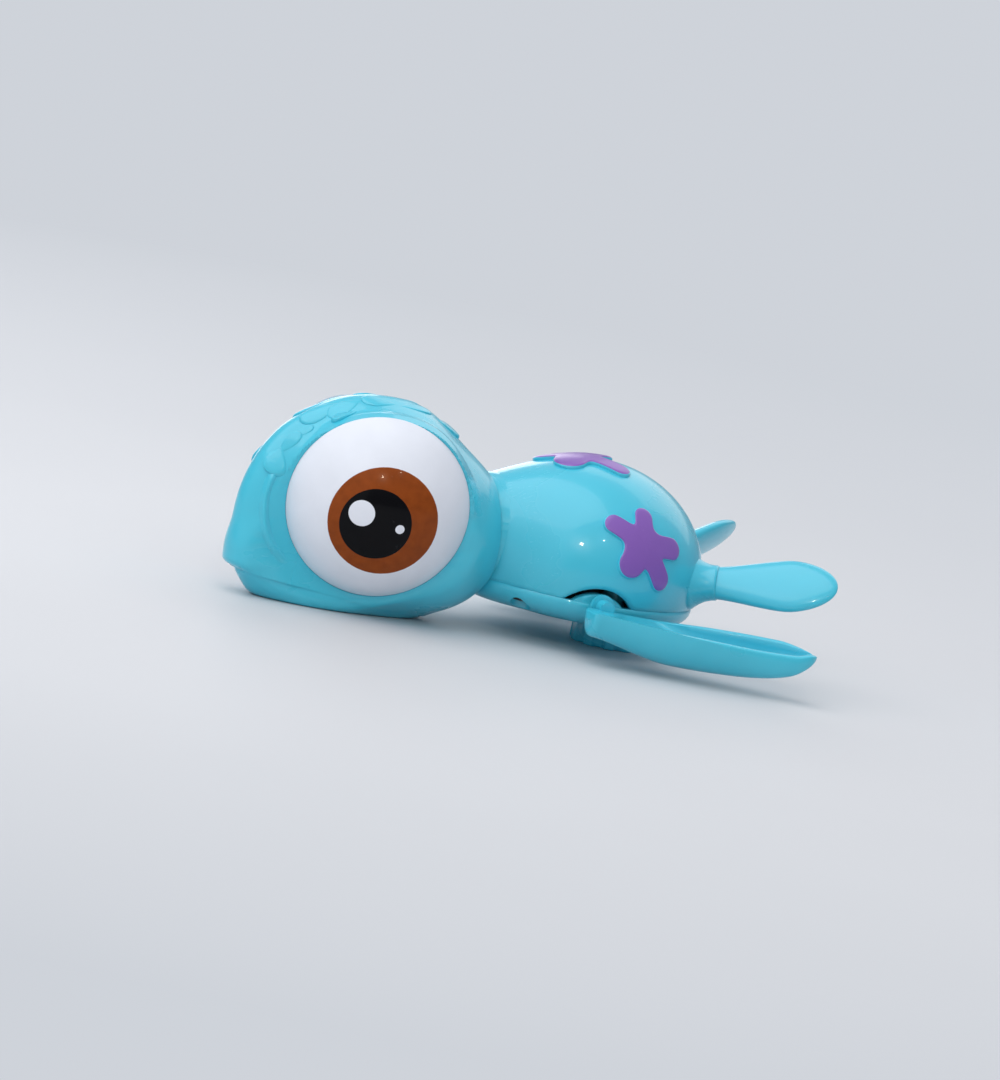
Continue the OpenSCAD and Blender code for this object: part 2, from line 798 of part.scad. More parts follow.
// Stepped tray: a narrow foot round the axle and crown wheel, a wide rim round the main wheel
module gearbox_base() {
    color(motor_grey)
        difference() {
            union() {
                difference() {
                    union() {
                        case_block(low_room + case_wall, crown_room + case_wall, base_z, step_z);
                        case_block(
                            main_room + case_wall,
                            crown_room + case_wall + 0.2,
                            step_z - 1,
                            case_top_z
                        );
                        ears(step_z - 0.1, case_top_z);
                    }
                    case_block(low_room, crown_room, base_z + floor_t, step_z + 1);
                    case_block(main_room, crown_room + 0.2, step_z, case_top_z + 1);
                }
                translate([0, 0, base_z])
                    cylinder(r = 2 * arbor_r, h = step_z - base_z);
                translate([axle_x - bridge_half.x, -bridge_half.y, base_z])
                    cube([2 * bridge_half.x, 2 * bridge_half.y, crown_disc_z - gap - base_z]);
            }
            cylinder(r = arbor_r + run_fit, h = case_top_z);
            along_axle(-axle_half, axle_z)
                cylinder(r = axle_r + run_fit, h = 2 * axle_half);
            translate([axle_x, -crown_r, axle_z])
                cube([3 * axle_pinion_r, crown_face + 2 * gap, 3 * axle_pinion_r], center = true);
            ear_holes(step_z - 1, case_top_z + 1);
        }
}

// Lid over the wheels with the spring barrel standing on it
module gearbox_cover() {
    color(motor_grey)
        difference() {
            union() {
                case_block(main_room + case_wall, crown_room + case_wall + 0.2, case_top_z, spring_z);
                ears(case_top_z, spring_z);
                translate([0, 0, case_top_z])
                    cylinder(r = barrel_r + case_wall, h = barrel_top_z + cover_t - case_top_z);
                translate([axle_x, 0, case_top_z])
                    cylinder(r = 3 * pin_r, h = spring_z + 1.4 - case_top_z);
            }
            translate([0, 0, case_top_z - 1])
                cylinder(r = main_room - 0.6, h = plate_z + plate_t - case_top_z + 1);
            translate([0, 0, case_top_z])
                cylinder(r = barrel_r, h = barrel_top_z - case_top_z);
            cylinder(r = arbor_r + run_fit, h = barrel_top_z + 2 * cover_t);
            translate([axle_x, 0, case_top_z - 1])
                cylinder(r = pin_r, h = spring_z + 0.4 - case_top_z + 1);
            ear_holes(case_top_z - 1, spring_z + 1);
        }
}

module gearbox_screws() {
    color(steel)
        mirrored_y()
            translate([ear_at.x, ear_at.y, spring_z + screw_head_h])
                mirror([0, 0, 1])
                    screw(spring_z - base_z - 1);
}

// Flat strip wound from the arbor out to the barrel wall
module mainspring() {
    inner = arbor_r + 0.5;
    outer = barrel_r - spring_t - 0.15;
    steps = 20 * spring_turns;
    path = [
        for (i = [0:steps]) let (s = i / steps) [mix(inner, outer, s), 360 * spring_turns * s]
    ];
    color(steel)
        translate([0, 0, spring_z])
            linear_extrude(height = spring_w)
                polygon(concat(
                    [for (p = path) p[0] * [cos(p[1]), sin(p[1])]],
                    [for (i = [steps:-1:0]) (path[i][0] + spring_t) * [cos(path[i][1]), sin(path[i][1])]]
                ));
}

module spring_plate() {
    color(motor_white)
        translate([0, 0, plate_z])
            difference() {
                cylinder(r = main_room - 0.6 - fit, h = plate_t);
                translate([0, 0, -1])
                    cylinder(r = arbor_r + gap, h = plate_t + 2);
            }
}

module crown_pin() {
    color(steel)
        translate([axle_x, 0, crown_disc_z])
            cylinder(r = pin_r, h = spring_z + 0.4 - crown_disc_z);
}

module axle_bush(side) {
    color(motor_white)
        along_axle(0, axle_z)
            mirror([0, 0, side < 0 ? 1 : 0])
                translate([0, 0, tongue_y - tongue_t - bush_flange_t])
                    difference() {
                        union() {
                            cylinder(r = bush_r, h = tongue_t + bush_flange_t);
                            cylinder(r = bush_flange_r, h = bush_flange_t);
                        }
                        translate([0, 0, -1])
                            cylinder(r = axle_r + run_fit, h = tongue_t + bush_flange_t + 2);
                    }
}

module knob_seal() {
    color(seal_black)
        translate([0, 0, belly_z])
            difference() {
                cylinder(r = seal_r, h = seal_top_z - belly_z);
                translate([0, 0, -1])
                    cylinder(r = stem_r + run_fit, h = seal_top_z - belly_z + 2);
            }
}

// Wheel with teeth on its underside for the axle pinion, and a pinion on top for the main wheel
module crown_wheel() {
    tooth = 0.3 * 360 / crown_teeth;
    low = crown_pitch_z - tooth_tip;
    color(motor_white)
        difference() {
            union() {
                translate([axle_x, 0, crown_disc_z])
                    cylinder(r = crown_r + crown_face / 2, h = crown_disc_t);
                translate([axle_x, 0, crown_disc_z + crown_disc_t / 2])
                    rotate([0, 0, 180 / crown_pinion_teeth])
                        spur(crown_pinion_teeth, 0.16, crown_pinion_h);
                for (k = [0:crown_teeth - 1])
                    translate([axle_x, 0, low])
                        rotate([0, 0, 90 + 360 * (k + 0.5) / crown_teeth])
                            linear_extrude(height = crown_disc_z - low + 0.2)
                                polygon([
                                    for (c = [[-1, -1], [1, -1], [1, 1], [-1, 1]])
                                        let (r = crown_r + 0.49 * c[0] * crown_face, a = c[1] * tooth / 2)
                                        r * [cos(a), sin(a)]
                                ]);
            }
            translate([axle_x, 0, low])
                cylinder(r = pin_r + run_fit, h = main_z + main_t);
        }
}

module main_wheel() {
    color(motor_white)
        translate([0, 0, main_z])
            difference() {
                spur(main_teeth, 0.16, main_t);
                for (k = [0:4])
                    rotate([0, 0, 36 + 72 * k])
                        translate([6.4, 0, -1])
                            cylinder(r = 1.5, h = main_t + 2);
                translate([0, 0, -1])
                    cylinder(r = arbor_r + run_fit, h = main_t + 2);
            }
}

// Springy arm on the main wheel that clicks over the ratchet's teeth
module click() {
    color(motor_white)
        translate([0, 0, main_z + main_t])
            linear_extrude(height = ratchet_t)
                difference() {
                    union() {
                        translate([ratchet_r + 1.6, 0])
                            square([1.6, 2.4], center = true);
                        translate([ratchet_r + 0.4, 2])
                            rotate(45)
                                square([0.8, 3.9], center = true);
                    }
                    circle(r = ratchet_r + fit);
                }
}

// Saw teeth whose steep sides drive the click and whose slopes let it pass
module ratchet_wheel() {
    color(motor_grey)
        translate([0, 0, ratchet_z])
            linear_extrude(height = ratchet_t)
                difference() {
                    polygon([
                        for (k = [0:ratchet_teeth - 1])
                            let (a = 360 * k / ratchet_teeth)
                            each [
                                0.8 * ratchet_r * [cos(a - 3), sin(a - 3)],
                                ratchet_r * [cos(a), sin(a)]
                            ]
                    ]);
                    circle(r = arbor_r);
                }
}

module winding_arbor() {
    color(steel)
        translate([0, 0, arbor_foot_z])
            cylinder(r = arbor_r, h = barrel_top_z + cover_t - arbor_foot_z);
}

module winding_knob() {
    color(turquoise)
        difference() {
            union() {
                cylinder(r = knob_r, h = knob_h);
                cylinder(r = stem_r, h = base_z - gap);
            }
            for (k = [0:knob_flutes - 1])
                rotate([0, 0, 360 * (k + 0.5) / knob_flutes])
                    translate([knob_r + 0.3, 0, -1])
                        cylinder(r = flute_r, h = knob_h + 2);
            translate([0, 0, arbor_foot_z])
                cylinder(r = arbor_r, h = base_z);
        }
}

module axle() {
    color(steel)
        along_axle(-axle_half, axle_z)
            cylinder(r = axle_r, h = 2 * axle_half);
}

module axle_pinion() {
    color(motor_white)
        along_axle(-crown_r - crown_face / 2, axle_z)
            difference() {
                rotate([0, 0, -90])
                    spur(axle_pinion_teeth, 0.3, crown_face);
                translate([0, 0, -1])
                    cylinder(r = axle_r, h = crown_face + 2);
            }
}

// Half width and depth of the scoop along its length, both closing at the tip
function blade_half_w(s) = blade_w / 2 * mix(0.5, 1, ease(0, 0.45, s)) * sqrt(max(1 - pow(s, 3.2), 0.004));
function blade_depth(s) = blade_d * mix(0.7, 1, ease(0, 0.4, s)) * sqrt(max(1 - pow(s, 2.6), 0.01));

// Scoop flipper: a canoe-like cup swept back from a solid root, with a hub for the axle
module flipper() {
    m = 15;
    k = 8;
    color(turquoise)
        difference() {
            union() {
                loft(
                    [
                        for (j = [0:m])
                            let (s = 0.98 * j / m, w = blade_half_w(s), d = blade_depth(s))
                            let (y = blade_y + blade_w / 4 + blade_sweep * pow(s, 1.6))
                            let (z = axle_z + 0.2 - 0.7 * s - blade_dip * sin(180 * s))
                            let (open = ease(0.14, 0.4, s) * (1 - ease(0.86, 1, s)))
                            let (iw = max(w - blade_wall, w / 2), id = max(d - blade_wall, d / 2) * open)
                            let (x = axle_x + blade_ahead - blade_l * s)
                            concat(
                                [for (i = [0:k]) let (a = 180 * i / k) [x, y + w * cos(a), z - d * sin(a)]],
                                [
                                    for (i = [k:-1:0])
                                        let (a = 180 * i / k)
                                        [x, y + iw * cos(a), z - 0.1 - id * sin(a)]
                                ]
                            )
                    ],
                    [axle_x + blade_ahead, blade_y + blade_w / 4, axle_z + 0.2 - blade_depth(0) / 2],
                    [axle_x + blade_ahead - blade_l, blade_y + blade_w / 4 + blade_sweep, axle_z - 1.2]
                );
                along_axle(tongue_y + hub_gap, axle_z) {
                    cylinder(r = collar_r, h = collar_l);
                    cylinder(r = hub_r, h = axle_half + 0.5 - tongue_y - hub_gap);
                }
            }
            along_axle(0, axle_z)
                cylinder(r = axle_r, h = axle_half);
        }
}

head_shell();
jaw();
eye(1);  // eye_left
eye(-1);  // eye_right
jaw_screws();
carapace();
belly_pan();
body_screws();
rear_leg();  // rear_leg_left
mirror([0, 1, 0]) rear_leg();  // rear_leg_right
gearbox_base();
gearbox_cover();
gearbox_screws();
mainspring();
spring_plate();
crown_pin();
axle_bush(1);  // axle_bush_left
axle_bush(-1);  // axle_bush_right
knob_seal();
axle();
axle_pinion();
flipper();  // flipper_left
mirror([0, 1, 0]) flipper();  // flipper_right
crown_wheel();
main_wheel();
click();
winding_arbor();
ratchet_wheel();
winding_knob();
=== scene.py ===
import math

import bmesh
import bpy
import numpy as np
from mathutils import Matrix, Vector


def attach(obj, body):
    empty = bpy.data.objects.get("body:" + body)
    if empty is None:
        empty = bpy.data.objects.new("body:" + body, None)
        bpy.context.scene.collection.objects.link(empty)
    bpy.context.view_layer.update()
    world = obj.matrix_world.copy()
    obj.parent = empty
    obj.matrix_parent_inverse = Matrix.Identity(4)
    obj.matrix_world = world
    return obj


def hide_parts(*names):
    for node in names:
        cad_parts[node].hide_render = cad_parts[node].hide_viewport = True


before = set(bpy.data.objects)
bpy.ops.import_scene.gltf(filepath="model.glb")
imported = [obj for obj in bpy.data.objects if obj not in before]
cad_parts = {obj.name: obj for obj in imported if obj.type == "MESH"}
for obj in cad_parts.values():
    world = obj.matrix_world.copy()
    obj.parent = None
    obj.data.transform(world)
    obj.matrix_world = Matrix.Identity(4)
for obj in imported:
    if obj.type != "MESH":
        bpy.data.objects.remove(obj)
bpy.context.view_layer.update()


# Spring motor: acetal wheels, a two-part case of grey styrene, a hardened strip spring and
# turned steel pins. The moulded wheels press on their shafts and two screws hold the case.
# These pieces keep their solid form, and each gets the finish of its own material.

def put(tree, kind, sockets=None, **settings):
    """Adds a node with its settings; each socket gets a value or a link."""
    node = tree.nodes.new(kind)
    for key, value in settings.items():
        setattr(node, key, value)
    for key, value in (sockets or {}).items():
        if isinstance(value, bpy.types.NodeSocket):
            tree.links.new(value, node.inputs[key])
        else:
            node.inputs[key].default_value = value
    return node


def effect(name, takes, gives):
    """Starts a shared surface effect with named sockets."""
    group = bpy.data.node_groups.new(name, "ShaderNodeTree")
    for socket, kind, value in takes:
        group.interface.new_socket(socket, in_out="INPUT", socket_type=kind).default_value = value
    for socket, kind in gives:
        group.interface.new_socket(socket, in_out="OUTPUT", socket_type=kind)
    return group, group.nodes.new("NodeGroupInput").outputs, group.nodes.new("NodeGroupOutput").inputs


def spread(tree, value, low, high, to_low, to_high):
    """Maps a value from one span to another and keeps it inside."""
    node = put(tree, "ShaderNodeMapRange", {"Value": value, "From Min": low, "From Max": high,
                                            "To Min": to_low, "To Max": to_high})
    return node.outputs["Result"]


def sums(tree, how, a, b):
    """One step of arithmetic on two values."""
    return put(tree, "ShaderNodeMath", {0: a, 1: b}, operation=how).outputs[0]


# Moulded skin: slow flow marks in the colour, a faint orange-peel and fine rub marks.
skin, takes, gives = effect(
    "moulded_skin",
    [("Colour", "NodeSocketColor", (0.5, 0.5, 0.5, 1)), ("Drift", "NodeSocketFloat", 0.08),
     ("Gloss", "NodeSocketFloat", 0.25), ("Rubs", "NodeSocketFloat", 0.5)],
    [("Colour", "NodeSocketColor"), ("Roughness", "NodeSocketFloat"), ("Height", "NodeSocketFloat")])
spot = put(skin, "ShaderNodeTexCoord").outputs["Object"]
flow = put(skin, "ShaderNodeTexNoise", {"Vector": spot, "Scale": 55, "Detail": 3, "Distortion": 0.6})
drifted = sums(skin, "MULTIPLY", sums(skin, "SUBTRACT", flow.outputs["Fac"], 0.5), takes["Drift"])
flow_value = sums(skin, "ADD", drifted, 1)
peel = put(skin, "ShaderNodeTexNoise", {"Vector": spot, "Scale": 1100, "Detail": 2})
rub_spot = put(skin, "ShaderNodeMapping", {"Vector": spot, "Rotation": (0.4, 0.7, 0.5),
                                           "Scale": (160, 2600, 1500)})
rubs = put(skin, "ShaderNodeTexNoise", {"Vector": rub_spot.outputs["Vector"], "Scale": 1, "Detail": 3})
rub_mask = sums(skin, "MULTIPLY", spread(skin, rubs.outputs["Fac"], 0.62, 0.72, 0, 1), takes["Rubs"])
speck = put(skin, "ShaderNodeTexVoronoi", {"Vector": spot, "Scale": 420})
speck_mask = spread(skin, speck.outputs["Distance"], 0.05, 0.09, 1, 0)
cast = put(skin, "ShaderNodeHueSaturation", {"Color": takes["Colour"], "Value": flow_value})
dusty = sums(skin, "MULTIPLY", sums(skin, "MULTIPLY", speck_mask, takes["Rubs"]), 0.05)
pale = put(skin, "ShaderNodeMix", {0: dusty, 6: cast.outputs["Color"], 7: (0.9, 0.92, 0.94, 1)},
           data_type="RGBA")
skin.links.new(pale.outputs[2], gives["Colour"])
rough = sums(skin, "ADD", takes["Gloss"], spread(skin, flow.outputs["Fac"], 0.3, 0.7, -0.03, 0.05))
rough = sums(skin, "ADD", rough, sums(skin, "MULTIPLY", rub_mask, 0.16))
skin.links.new(rough, gives["Roughness"])
skin.links.new(sums(skin, "SUBTRACT", peel.outputs["Fac"], sums(skin, "MULTIPLY", rub_mask, 0.6)),
               gives["Height"])


def moulded(name, colour, gloss, drift=0.08, rubs=0.5, peel_depth=0.00001, **shader):
    """A moulded plastic or rubber: the shared skin on a Principled shader."""
    finish = bpy.data.materials.new(name)
    finish.use_nodes = True
    tree = finish.node_tree
    coat = tree.nodes["Principled BSDF"]
    marks = put(tree, "ShaderNodeGroup", node_tree=skin)
    for socket, value in (("Colour", (*colour, 1)), ("Drift", drift), ("Gloss", gloss), ("Rubs", rubs)):
        marks.inputs[socket].default_value = value
    bump = put(tree, "ShaderNodeBump", {"Height": marks.outputs["Height"], "Strength": 0.5,
                                        "Distance": peel_depth})
    tree.links.new(marks.outputs["Colour"], coat.inputs["Base Color"])
    tree.links.new(marks.outputs["Roughness"], coat.inputs["Roughness"])
    tree.links.new(bump.outputs["Normal"], coat.inputs["Normal"])
    for socket, value in shader.items():
        coat.inputs[socket.replace("_", " ")].default_value = value
    return finish


def metal(name, colour, gloss, lay):
    """Drawn or turned steel: brush lines along the lay, and slow stains."""
    finish = bpy.data.materials.new(name)
    finish.use_nodes = True
    tree = finish.node_tree
    coat = tree.nodes["Principled BSDF"]
    coat.inputs["Metallic"].default_value = 1
    place = put(tree, "ShaderNodeMapping", {"Vector": put(tree, "ShaderNodeTexCoord").outputs["Object"],
                                            "Scale": lay})
    lines = put(tree, "ShaderNodeTexNoise", {"Vector": place.outputs["Vector"], "Scale": 1, "Detail": 4})
    tint = put(tree, "ShaderNodeValToRGB", {"Fac": lines.outputs["Fac"]})
    tint.color_ramp.elements[0].color = (*[0.72 * c for c in colour], 1)
    tint.color_ramp.elements[1].color = (*colour, 1)
    tree.links.new(tint.outputs["Color"], coat.inputs["Base Color"])
    tree.links.new(spread(tree, lines.outputs["Fac"], 0.3, 0.7, gloss - 0.06, gloss + 0.1),
                   coat.inputs["Roughness"])
    bump = put(tree, "ShaderNodeBump", {"Height": lines.outputs["Fac"], "Strength": 0.3,
                                        "Distance": 0.00001})
    tree.links.new(bump.outputs["Normal"], coat.inputs["Normal"])
    return finish


acetal = moulded("wheel_acetal", (0.78, 0.76, 0.69), 0.32, 0.06, 0.4)
case_grey = moulded("case_styrene", (0.27, 0.3, 0.33), 0.4, 0.1, 0.6)
pin_steel = metal("pin_steel", (0.62, 0.63, 0.65), 0.24, (900, 120, 900))
spring_steel = metal("spring_steel", (0.4, 0.43, 0.5), 0.3, (200, 200, 2400))


def dress(finish, *names):
    """Gives solids of the frame a finish of their own."""
    for name in names:
        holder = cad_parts[name]
        if not holder.material_slots:
            holder.data.materials.append(None)
        for place in holder.material_slots:
            place.link = "OBJECT"
            place.material = finish


dress(acetal, "main_wheel", "crown_wheel", "axle_pinion", "ratchet_wheel", "click")
dress(case_grey, "gearbox_base", "gearbox_cover")
dress(pin_steel, "crown_pin", "axle", "winding_arbor", "spring_plate")
dress(spring_steel, "mainspring")


# Belly pan: the lower body moulding in glossy turquoise plastic, a shallow dish with a flat
# underside. Two upright tongues carry the axle bushes; four screws pull it to the carapace.

sea_plastic = moulded("sea_plastic", (0.05, 0.54, 0.71), 0.28, 0.1, 0.2, 0.000012,
                      Coat_Weight=0.45, Coat_Roughness=0.05)
axle_x, axle_z = 12.5, 11
seam_z, belly_z, body_wall, body_front = 11, 5.4, 1.8, 32
arch_r, arch_z, tongue_r, tongue_y, tongue_back, tongue_edge = 9, 5.3, 7.8, 20.5, 18.3, 0.5
neck_z, neck_r, neck_end, neck_flange = 19.5, 11.8, 39.4, 1.2
dome_at, dome_half = np.array([8.6, 0, 16]), np.array([24.3, 22, 21])
body_from = np.array([dome_at[0], 0, seam_z])
body_lobes = [(dome_at, dome_half), ((18, 0, neck_z), (24, 13.9, 14))]
lobe_blend, pan_square = 5, 2.6
body_screw_seat, head_hole_r, shank_hole_r, thread_hole_r, post_r = 9.6, 2.2, 1.2, 1.1, 2.4
case_screw_x, case_screw_y = 6.25, 13
bush_r, bush_flange_r, seal_pocket_r, stem_hole_r = 1.75, 2.1, 4, 2.9


def toward(turn, lift):
    """Unit vectors for a turn about the upright and a lift above level."""
    return np.stack([np.cos(lift) * np.cos(turn), np.cos(lift) * np.sin(turn),
                     np.sin(lift) + 0 * turn], -1)


def lobe_reach(start, way, at, half):
    """Distance from the start to the far side of an ellipsoid."""
    q, e = (start - np.array(at)) / half, way / half
    a, b = (e * e).sum(-1), (q * e).sum(-1)
    return (np.sqrt(np.maximum(b * b - a * ((q * q).sum(-1) - 1), 0)) - b) / a


def soft_max(a, b, width):
    """The larger of two, with the change from one to the other rounded off over a width."""
    return np.maximum(a, b) + np.maximum(width - abs(a - b), 0) ** 2 / (4 * width)


def reach(start, way, lobes):
    """Distance to the outside of a row of lobes that run into each other."""
    far = lobe_reach(start, way, *lobes[-1])
    for lobe in lobes[-2::-1]:
        far = soft_max(lobe_reach(start, way, *lobe), far, lobe_blend)
    return far


body_screw_at = []
for turn in np.radians((34.5, 122)):
    way = toward(turn, 0 * turn)
    x, y, _ = body_from + way * (reach(body_from, way, body_lobes) - 2.8)
    body_screw_at += [(x, y), (x, -y)]


def edge_round(clear, radius):
    """How far a skin drops where it comes within a radius of a cut."""
    left = radius - np.clip(clear, 0, radius)
    return radius - np.sqrt(radius ** 2 - left ** 2)


def piece(name, points, faces):
    """A new object from points in millimetres."""
    mesh = bpy.data.meshes.new(name)
    mesh.from_pydata(np.asarray(points, float).tolist(), [], faces)
    work = bmesh.new()
    work.from_mesh(mesh)
    bmesh.ops.recalc_face_normals(work, faces=work.faces)
    work.to_mesh(mesh)
    work.free()
    thing = bpy.data.objects.new(name, mesh)
    bpy.context.scene.collection.objects.link(thing)
    return thing


def skin_over(name, rings, first_tip, last_tip):
    """A closed skin through rings of points, with a tip at each end."""
    rings = np.asarray(rings, float)
    m, n = rings.shape[:2]
    faces = [(j * n + i, j * n + (i + 1) % n, (j + 1) * n + (i + 1) % n, (j + 1) * n + i)
             for j in range(m - 1) for i in range(n)]
    faces += [(n * m, (i + 1) % n, i) for i in range(n)]
    faces += [(n * m + 1, (m - 1) * n + i, (m - 1) * n + (i + 1) % n) for i in range(n)]
    return piece(name, np.vstack([rings.reshape(-1, 3), [first_tip], [last_tip]]), faces)


def rod(radius, start, end, sides=64):
    """A round rod, used to add a boss or to cut a hole."""
    start, end = Vector(start), Vector(end)
    work = bmesh.new()
    bmesh.ops.create_cone(work, cap_ends=True, segments=sides, radius1=radius, radius2=radius,
                          depth=(end - start).length)
    turn = (end - start).to_track_quat("Z", "Y").to_matrix().to_4x4()
    bmesh.ops.transform(work, matrix=Matrix.Translation((start + end) / 2) @ turn, verts=work.verts)
    mesh = bpy.data.meshes.new("rod")
    work.to_mesh(mesh)
    work.free()
    thing = bpy.data.objects.new("rod", mesh)
    bpy.context.scene.collection.objects.link(thing)
    return thing


def block(low, high):
    """A square block, used to keep or cut one side of a piece."""
    corners = [(x, y, z) for x in (low[0], high[0]) for y in (low[1], high[1]) for z in (low[2], high[2])]
    return piece("block", corners, [(0, 1, 3, 2), (4, 6, 7, 5), (0, 4, 5, 1), (2, 3, 7, 6),
                                    (0, 2, 6, 4), (1, 5, 7, 3)])


def worked(base, tool, how):
    """Adds, cuts or keeps with a tool, and throws the tool away."""
    change = base.modifiers.new("work", "BOOLEAN")
    change.solver, change.operation, change.object = "MANIFOLD", how, tool
    done = bpy.data.meshes.new_from_object(base.evaluated_get(bpy.context.evaluated_depsgraph_get()))
    base.modifiers.clear()
    base.data = done
    bpy.data.objects.remove(tool)
    return base


def add(base, *tools):
    for tool in tools:
        worked(base, tool, "UNION")
    return base


def cut(base, *tools):
    for tool in tools:
        worked(base, tool, "DIFFERENCE")
    return base


def fitted(thing, body, finishes, nodes, crease=38):
    """Brings a finished mesh to metres, smooths its skin up to its creases and fixes it on its body."""
    thing.data.transform(Matrix.Scale(0.001, 4))
    work = bmesh.new()
    work.from_mesh(thing.data)
    for face in work.faces:
        face.smooth = True
    for edge in work.edges:
        edge.smooth = len(edge.link_faces) == 2 and edge.calc_face_angle() < math.radians(crease)
    work.to_mesh(thing.data)
    work.free()
    which = [face.material_index for face in thing.data.polygons]
    thing.data.materials.clear()
    for finish in finishes:
        thing.data.materials.append(finish)
    thing.data.polygons.foreach_set("material_index", which)
    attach(thing, body)
    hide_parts(*nodes)
    return thing


def pan_ring(drop, wall, n=200):
    """A ring of the pan's skin at an angle below the seam, drawn in by a wall."""
    turn = np.linspace(0, 2 * np.pi, n, endpoint=False)
    flat = toward(turn, 0 * turn)
    rim = reach(body_from, flat, body_lobes) - wall
    deep = seam_z - belly_z + 0.5 - wall
    k = (np.cos(drop) / rim) ** pan_square + (np.sin(drop) / deep) ** pan_square
    p = body_from + toward(turn, -drop + 0 * turn) * (k ** (-1 / pan_square))[:, None]
    if wall == 0:
        p -= flat * edge_round(seam_z - p[:, 2], 0.2)[:, None]
    p[:, 0] = -soft_max(-p[:, 0], wall - body_front, 1.6)
    p[:, 2] = soft_max(p[:, 2], belly_z + wall, 0.5)
    return p


def body_ring(lift, n=200):
    """A ring just inside the whole body's outside, which trims what stands in it."""
    turn = np.linspace(0, 2 * np.pi, n, endpoint=False)
    way = toward(turn, lift + 0 * turn)
    return body_from + way * (reach(body_from, way, body_lobes) - 0.1)[:, None]


def neck_tube(name, low):
    """Half of the flanged neck tube on which the head sits."""
    tube = add(rod(neck_r, (body_front - body_wall, 0, neck_z), (neck_end, 0, neck_z), 96),
               rod(neck_r + 0.6, (neck_end - neck_flange, 0, neck_z), (neck_end, 0, neck_z), 96))
    cut(tube, rod(neck_r - 2, (body_front, 0, neck_z), (neck_end + 5.6, 0, neck_z), 96),
        block((0, -30, seam_z), (60, 30, 60)) if low else block((0, -30, -30), (60, 30, seam_z)))
    tube.name = name
    return tube


drops = np.pi / 2 * (np.arange(36) / 36) ** 1.3
inner_drops = np.pi / 2 * (np.arange(8) / 8) ** 1.3
belly_pan = skin_over("belly_pan_moulding",
                      [pan_ring(d, body_wall) for d in inner_drops[::-1]] + [pan_ring(d, 0) for d in drops],
                      (dome_at[0], 0, belly_z + body_wall), (dome_at[0], 0, belly_z))
add(belly_pan, neck_tube("neck_tube_low", True))
stands = []
for side in (1, -1):
    profile = [(tongue_r, tongue_back)]
    profile += [(tongue_r - tongue_edge * (1 - math.cos(a)), tongue_y - tongue_edge * (1 - math.sin(a)))
                for a in np.linspace(0, np.pi / 2, 6)]
    around = np.linspace(0, 2 * np.pi, 128, endpoint=False)
    rings = [[(axle_x + r * math.cos(t), side * y, arch_z + r * math.sin(t)) for t in around]
             for r, y in profile]
    tongue = skin_over("tongue", rings, (axle_x, side * tongue_back, arch_z),
                       (axle_x, side * tongue_y, arch_z))
    stands.append(cut(tongue, block((0, -30, -10), (30, 30, seam_z - 1.7))))
    post = case_screw_x, side * case_screw_y
    add(belly_pan, rod(post_r, (*post, 7), (*post, 13.6)))
stands += [rod(3, (x, y, 9), (x, y, seam_z)) for x, y in body_screw_at]
for stand in stands:
    worked(stand, skin_over("body_form", [body_ring(v) for v in np.radians(np.arange(-87, 88, 3))],
                            (dome_at[0], 0, -4.9), (dome_at[0], 0, 36.8)), "INTERSECT")
add(belly_pan, *stands)
add(belly_pan, rod(6, (0, 0, 6.3), (0, 0, 8.6)))
for x, y in body_screw_at:
    cut(belly_pan, rod(head_hole_r, (x, y, 0), (x, y, body_screw_seat), 48),
        rod(shank_hole_r, (x, y, 0), (x, y, seam_z + 1), 48))
for side in (1, -1):
    post = case_screw_x, side * case_screw_y
    cut(belly_pan, rod(bush_r, (axle_x, side * 17.3, axle_z), (axle_x, side * (tongue_y + 1), axle_z), 48),
        rod(bush_flange_r, (axle_x, side * 17.2, axle_z), (axle_x, side * tongue_back, axle_z), 48),
        rod(thread_hole_r, (*post, 8.6), (*post, 15), 48))
cut(belly_pan, rod(seal_pocket_r, (0, 0, 0), (0, 0, 7.6)), rod(stem_hole_r, (0, 0, 0), (0, 0, 9.6)))
fitted(belly_pan, "body", [sea_plastic], ["belly_pan"])


# Axle bushes and knob seal: two flanged acetal bushes pressed into the tongues from inside,
# and a black rubber ring set in the belly pan's pocket, which wipes the stem of the knob.

seal_rubber = moulded("seal_rubber", (0.022, 0.023, 0.025), 0.62, 0.2, 0.8, 0.00003)
dress(acetal, "axle_bush_left", "axle_bush_right")
dress(seal_rubber, "knob_seal")


# Carapace: the domed upper body moulding in the same plastic, with an arch over each axle end.
# Its raised five-lobed starfish pads are moulded on, and their tops are sprayed purple by stencil.

star_paint = moulded("star_paint", (0.228, 0.096, 0.445), 0.3, 0.16, 0.5, 0.00002, Coat_Weight=0.25,
                     Coat_Roughness=0.15)
star_middle_r, first_painted_band = 4.3, 3
leg_root, leg_splay, leg_rise, leg_bank = np.array([-12, 12.4, 17.2]), 34, 10.5, 50
leg_way = toward(np.radians(180 - leg_splay), np.radians(leg_rise))
haunch_w, haunch_t, haunch_long, haunch_edge, peg_r = 3.75, 3.05, 3.2, 0.5, 1.7


def dome_ring(lift, wall, n=300):
    """A ring of the dome's skin at an angle above the seam, rounded off toward the arches and the seam."""
    turn = np.linspace(0, 2 * np.pi, n, endpoint=False)
    way = toward(turn, lift + 0 * turn)
    far = reach(body_from, way, body_lobes) - wall
    p = body_from + way * far[:, None]
    if wall == 0:
        arch = np.hypot(p[:, 0] - axle_x, p[:, 2] - arch_z) - arch_r + 99 * (abs(p[:, 1]) < 12)
        p -= way * (edge_round(arch, 0.7) + edge_round(p[:, 2] - seam_z, 0.25))[:, None]
    p[:, 0] = -soft_max(-p[:, 0], wall - body_front, 1.6)
    return p


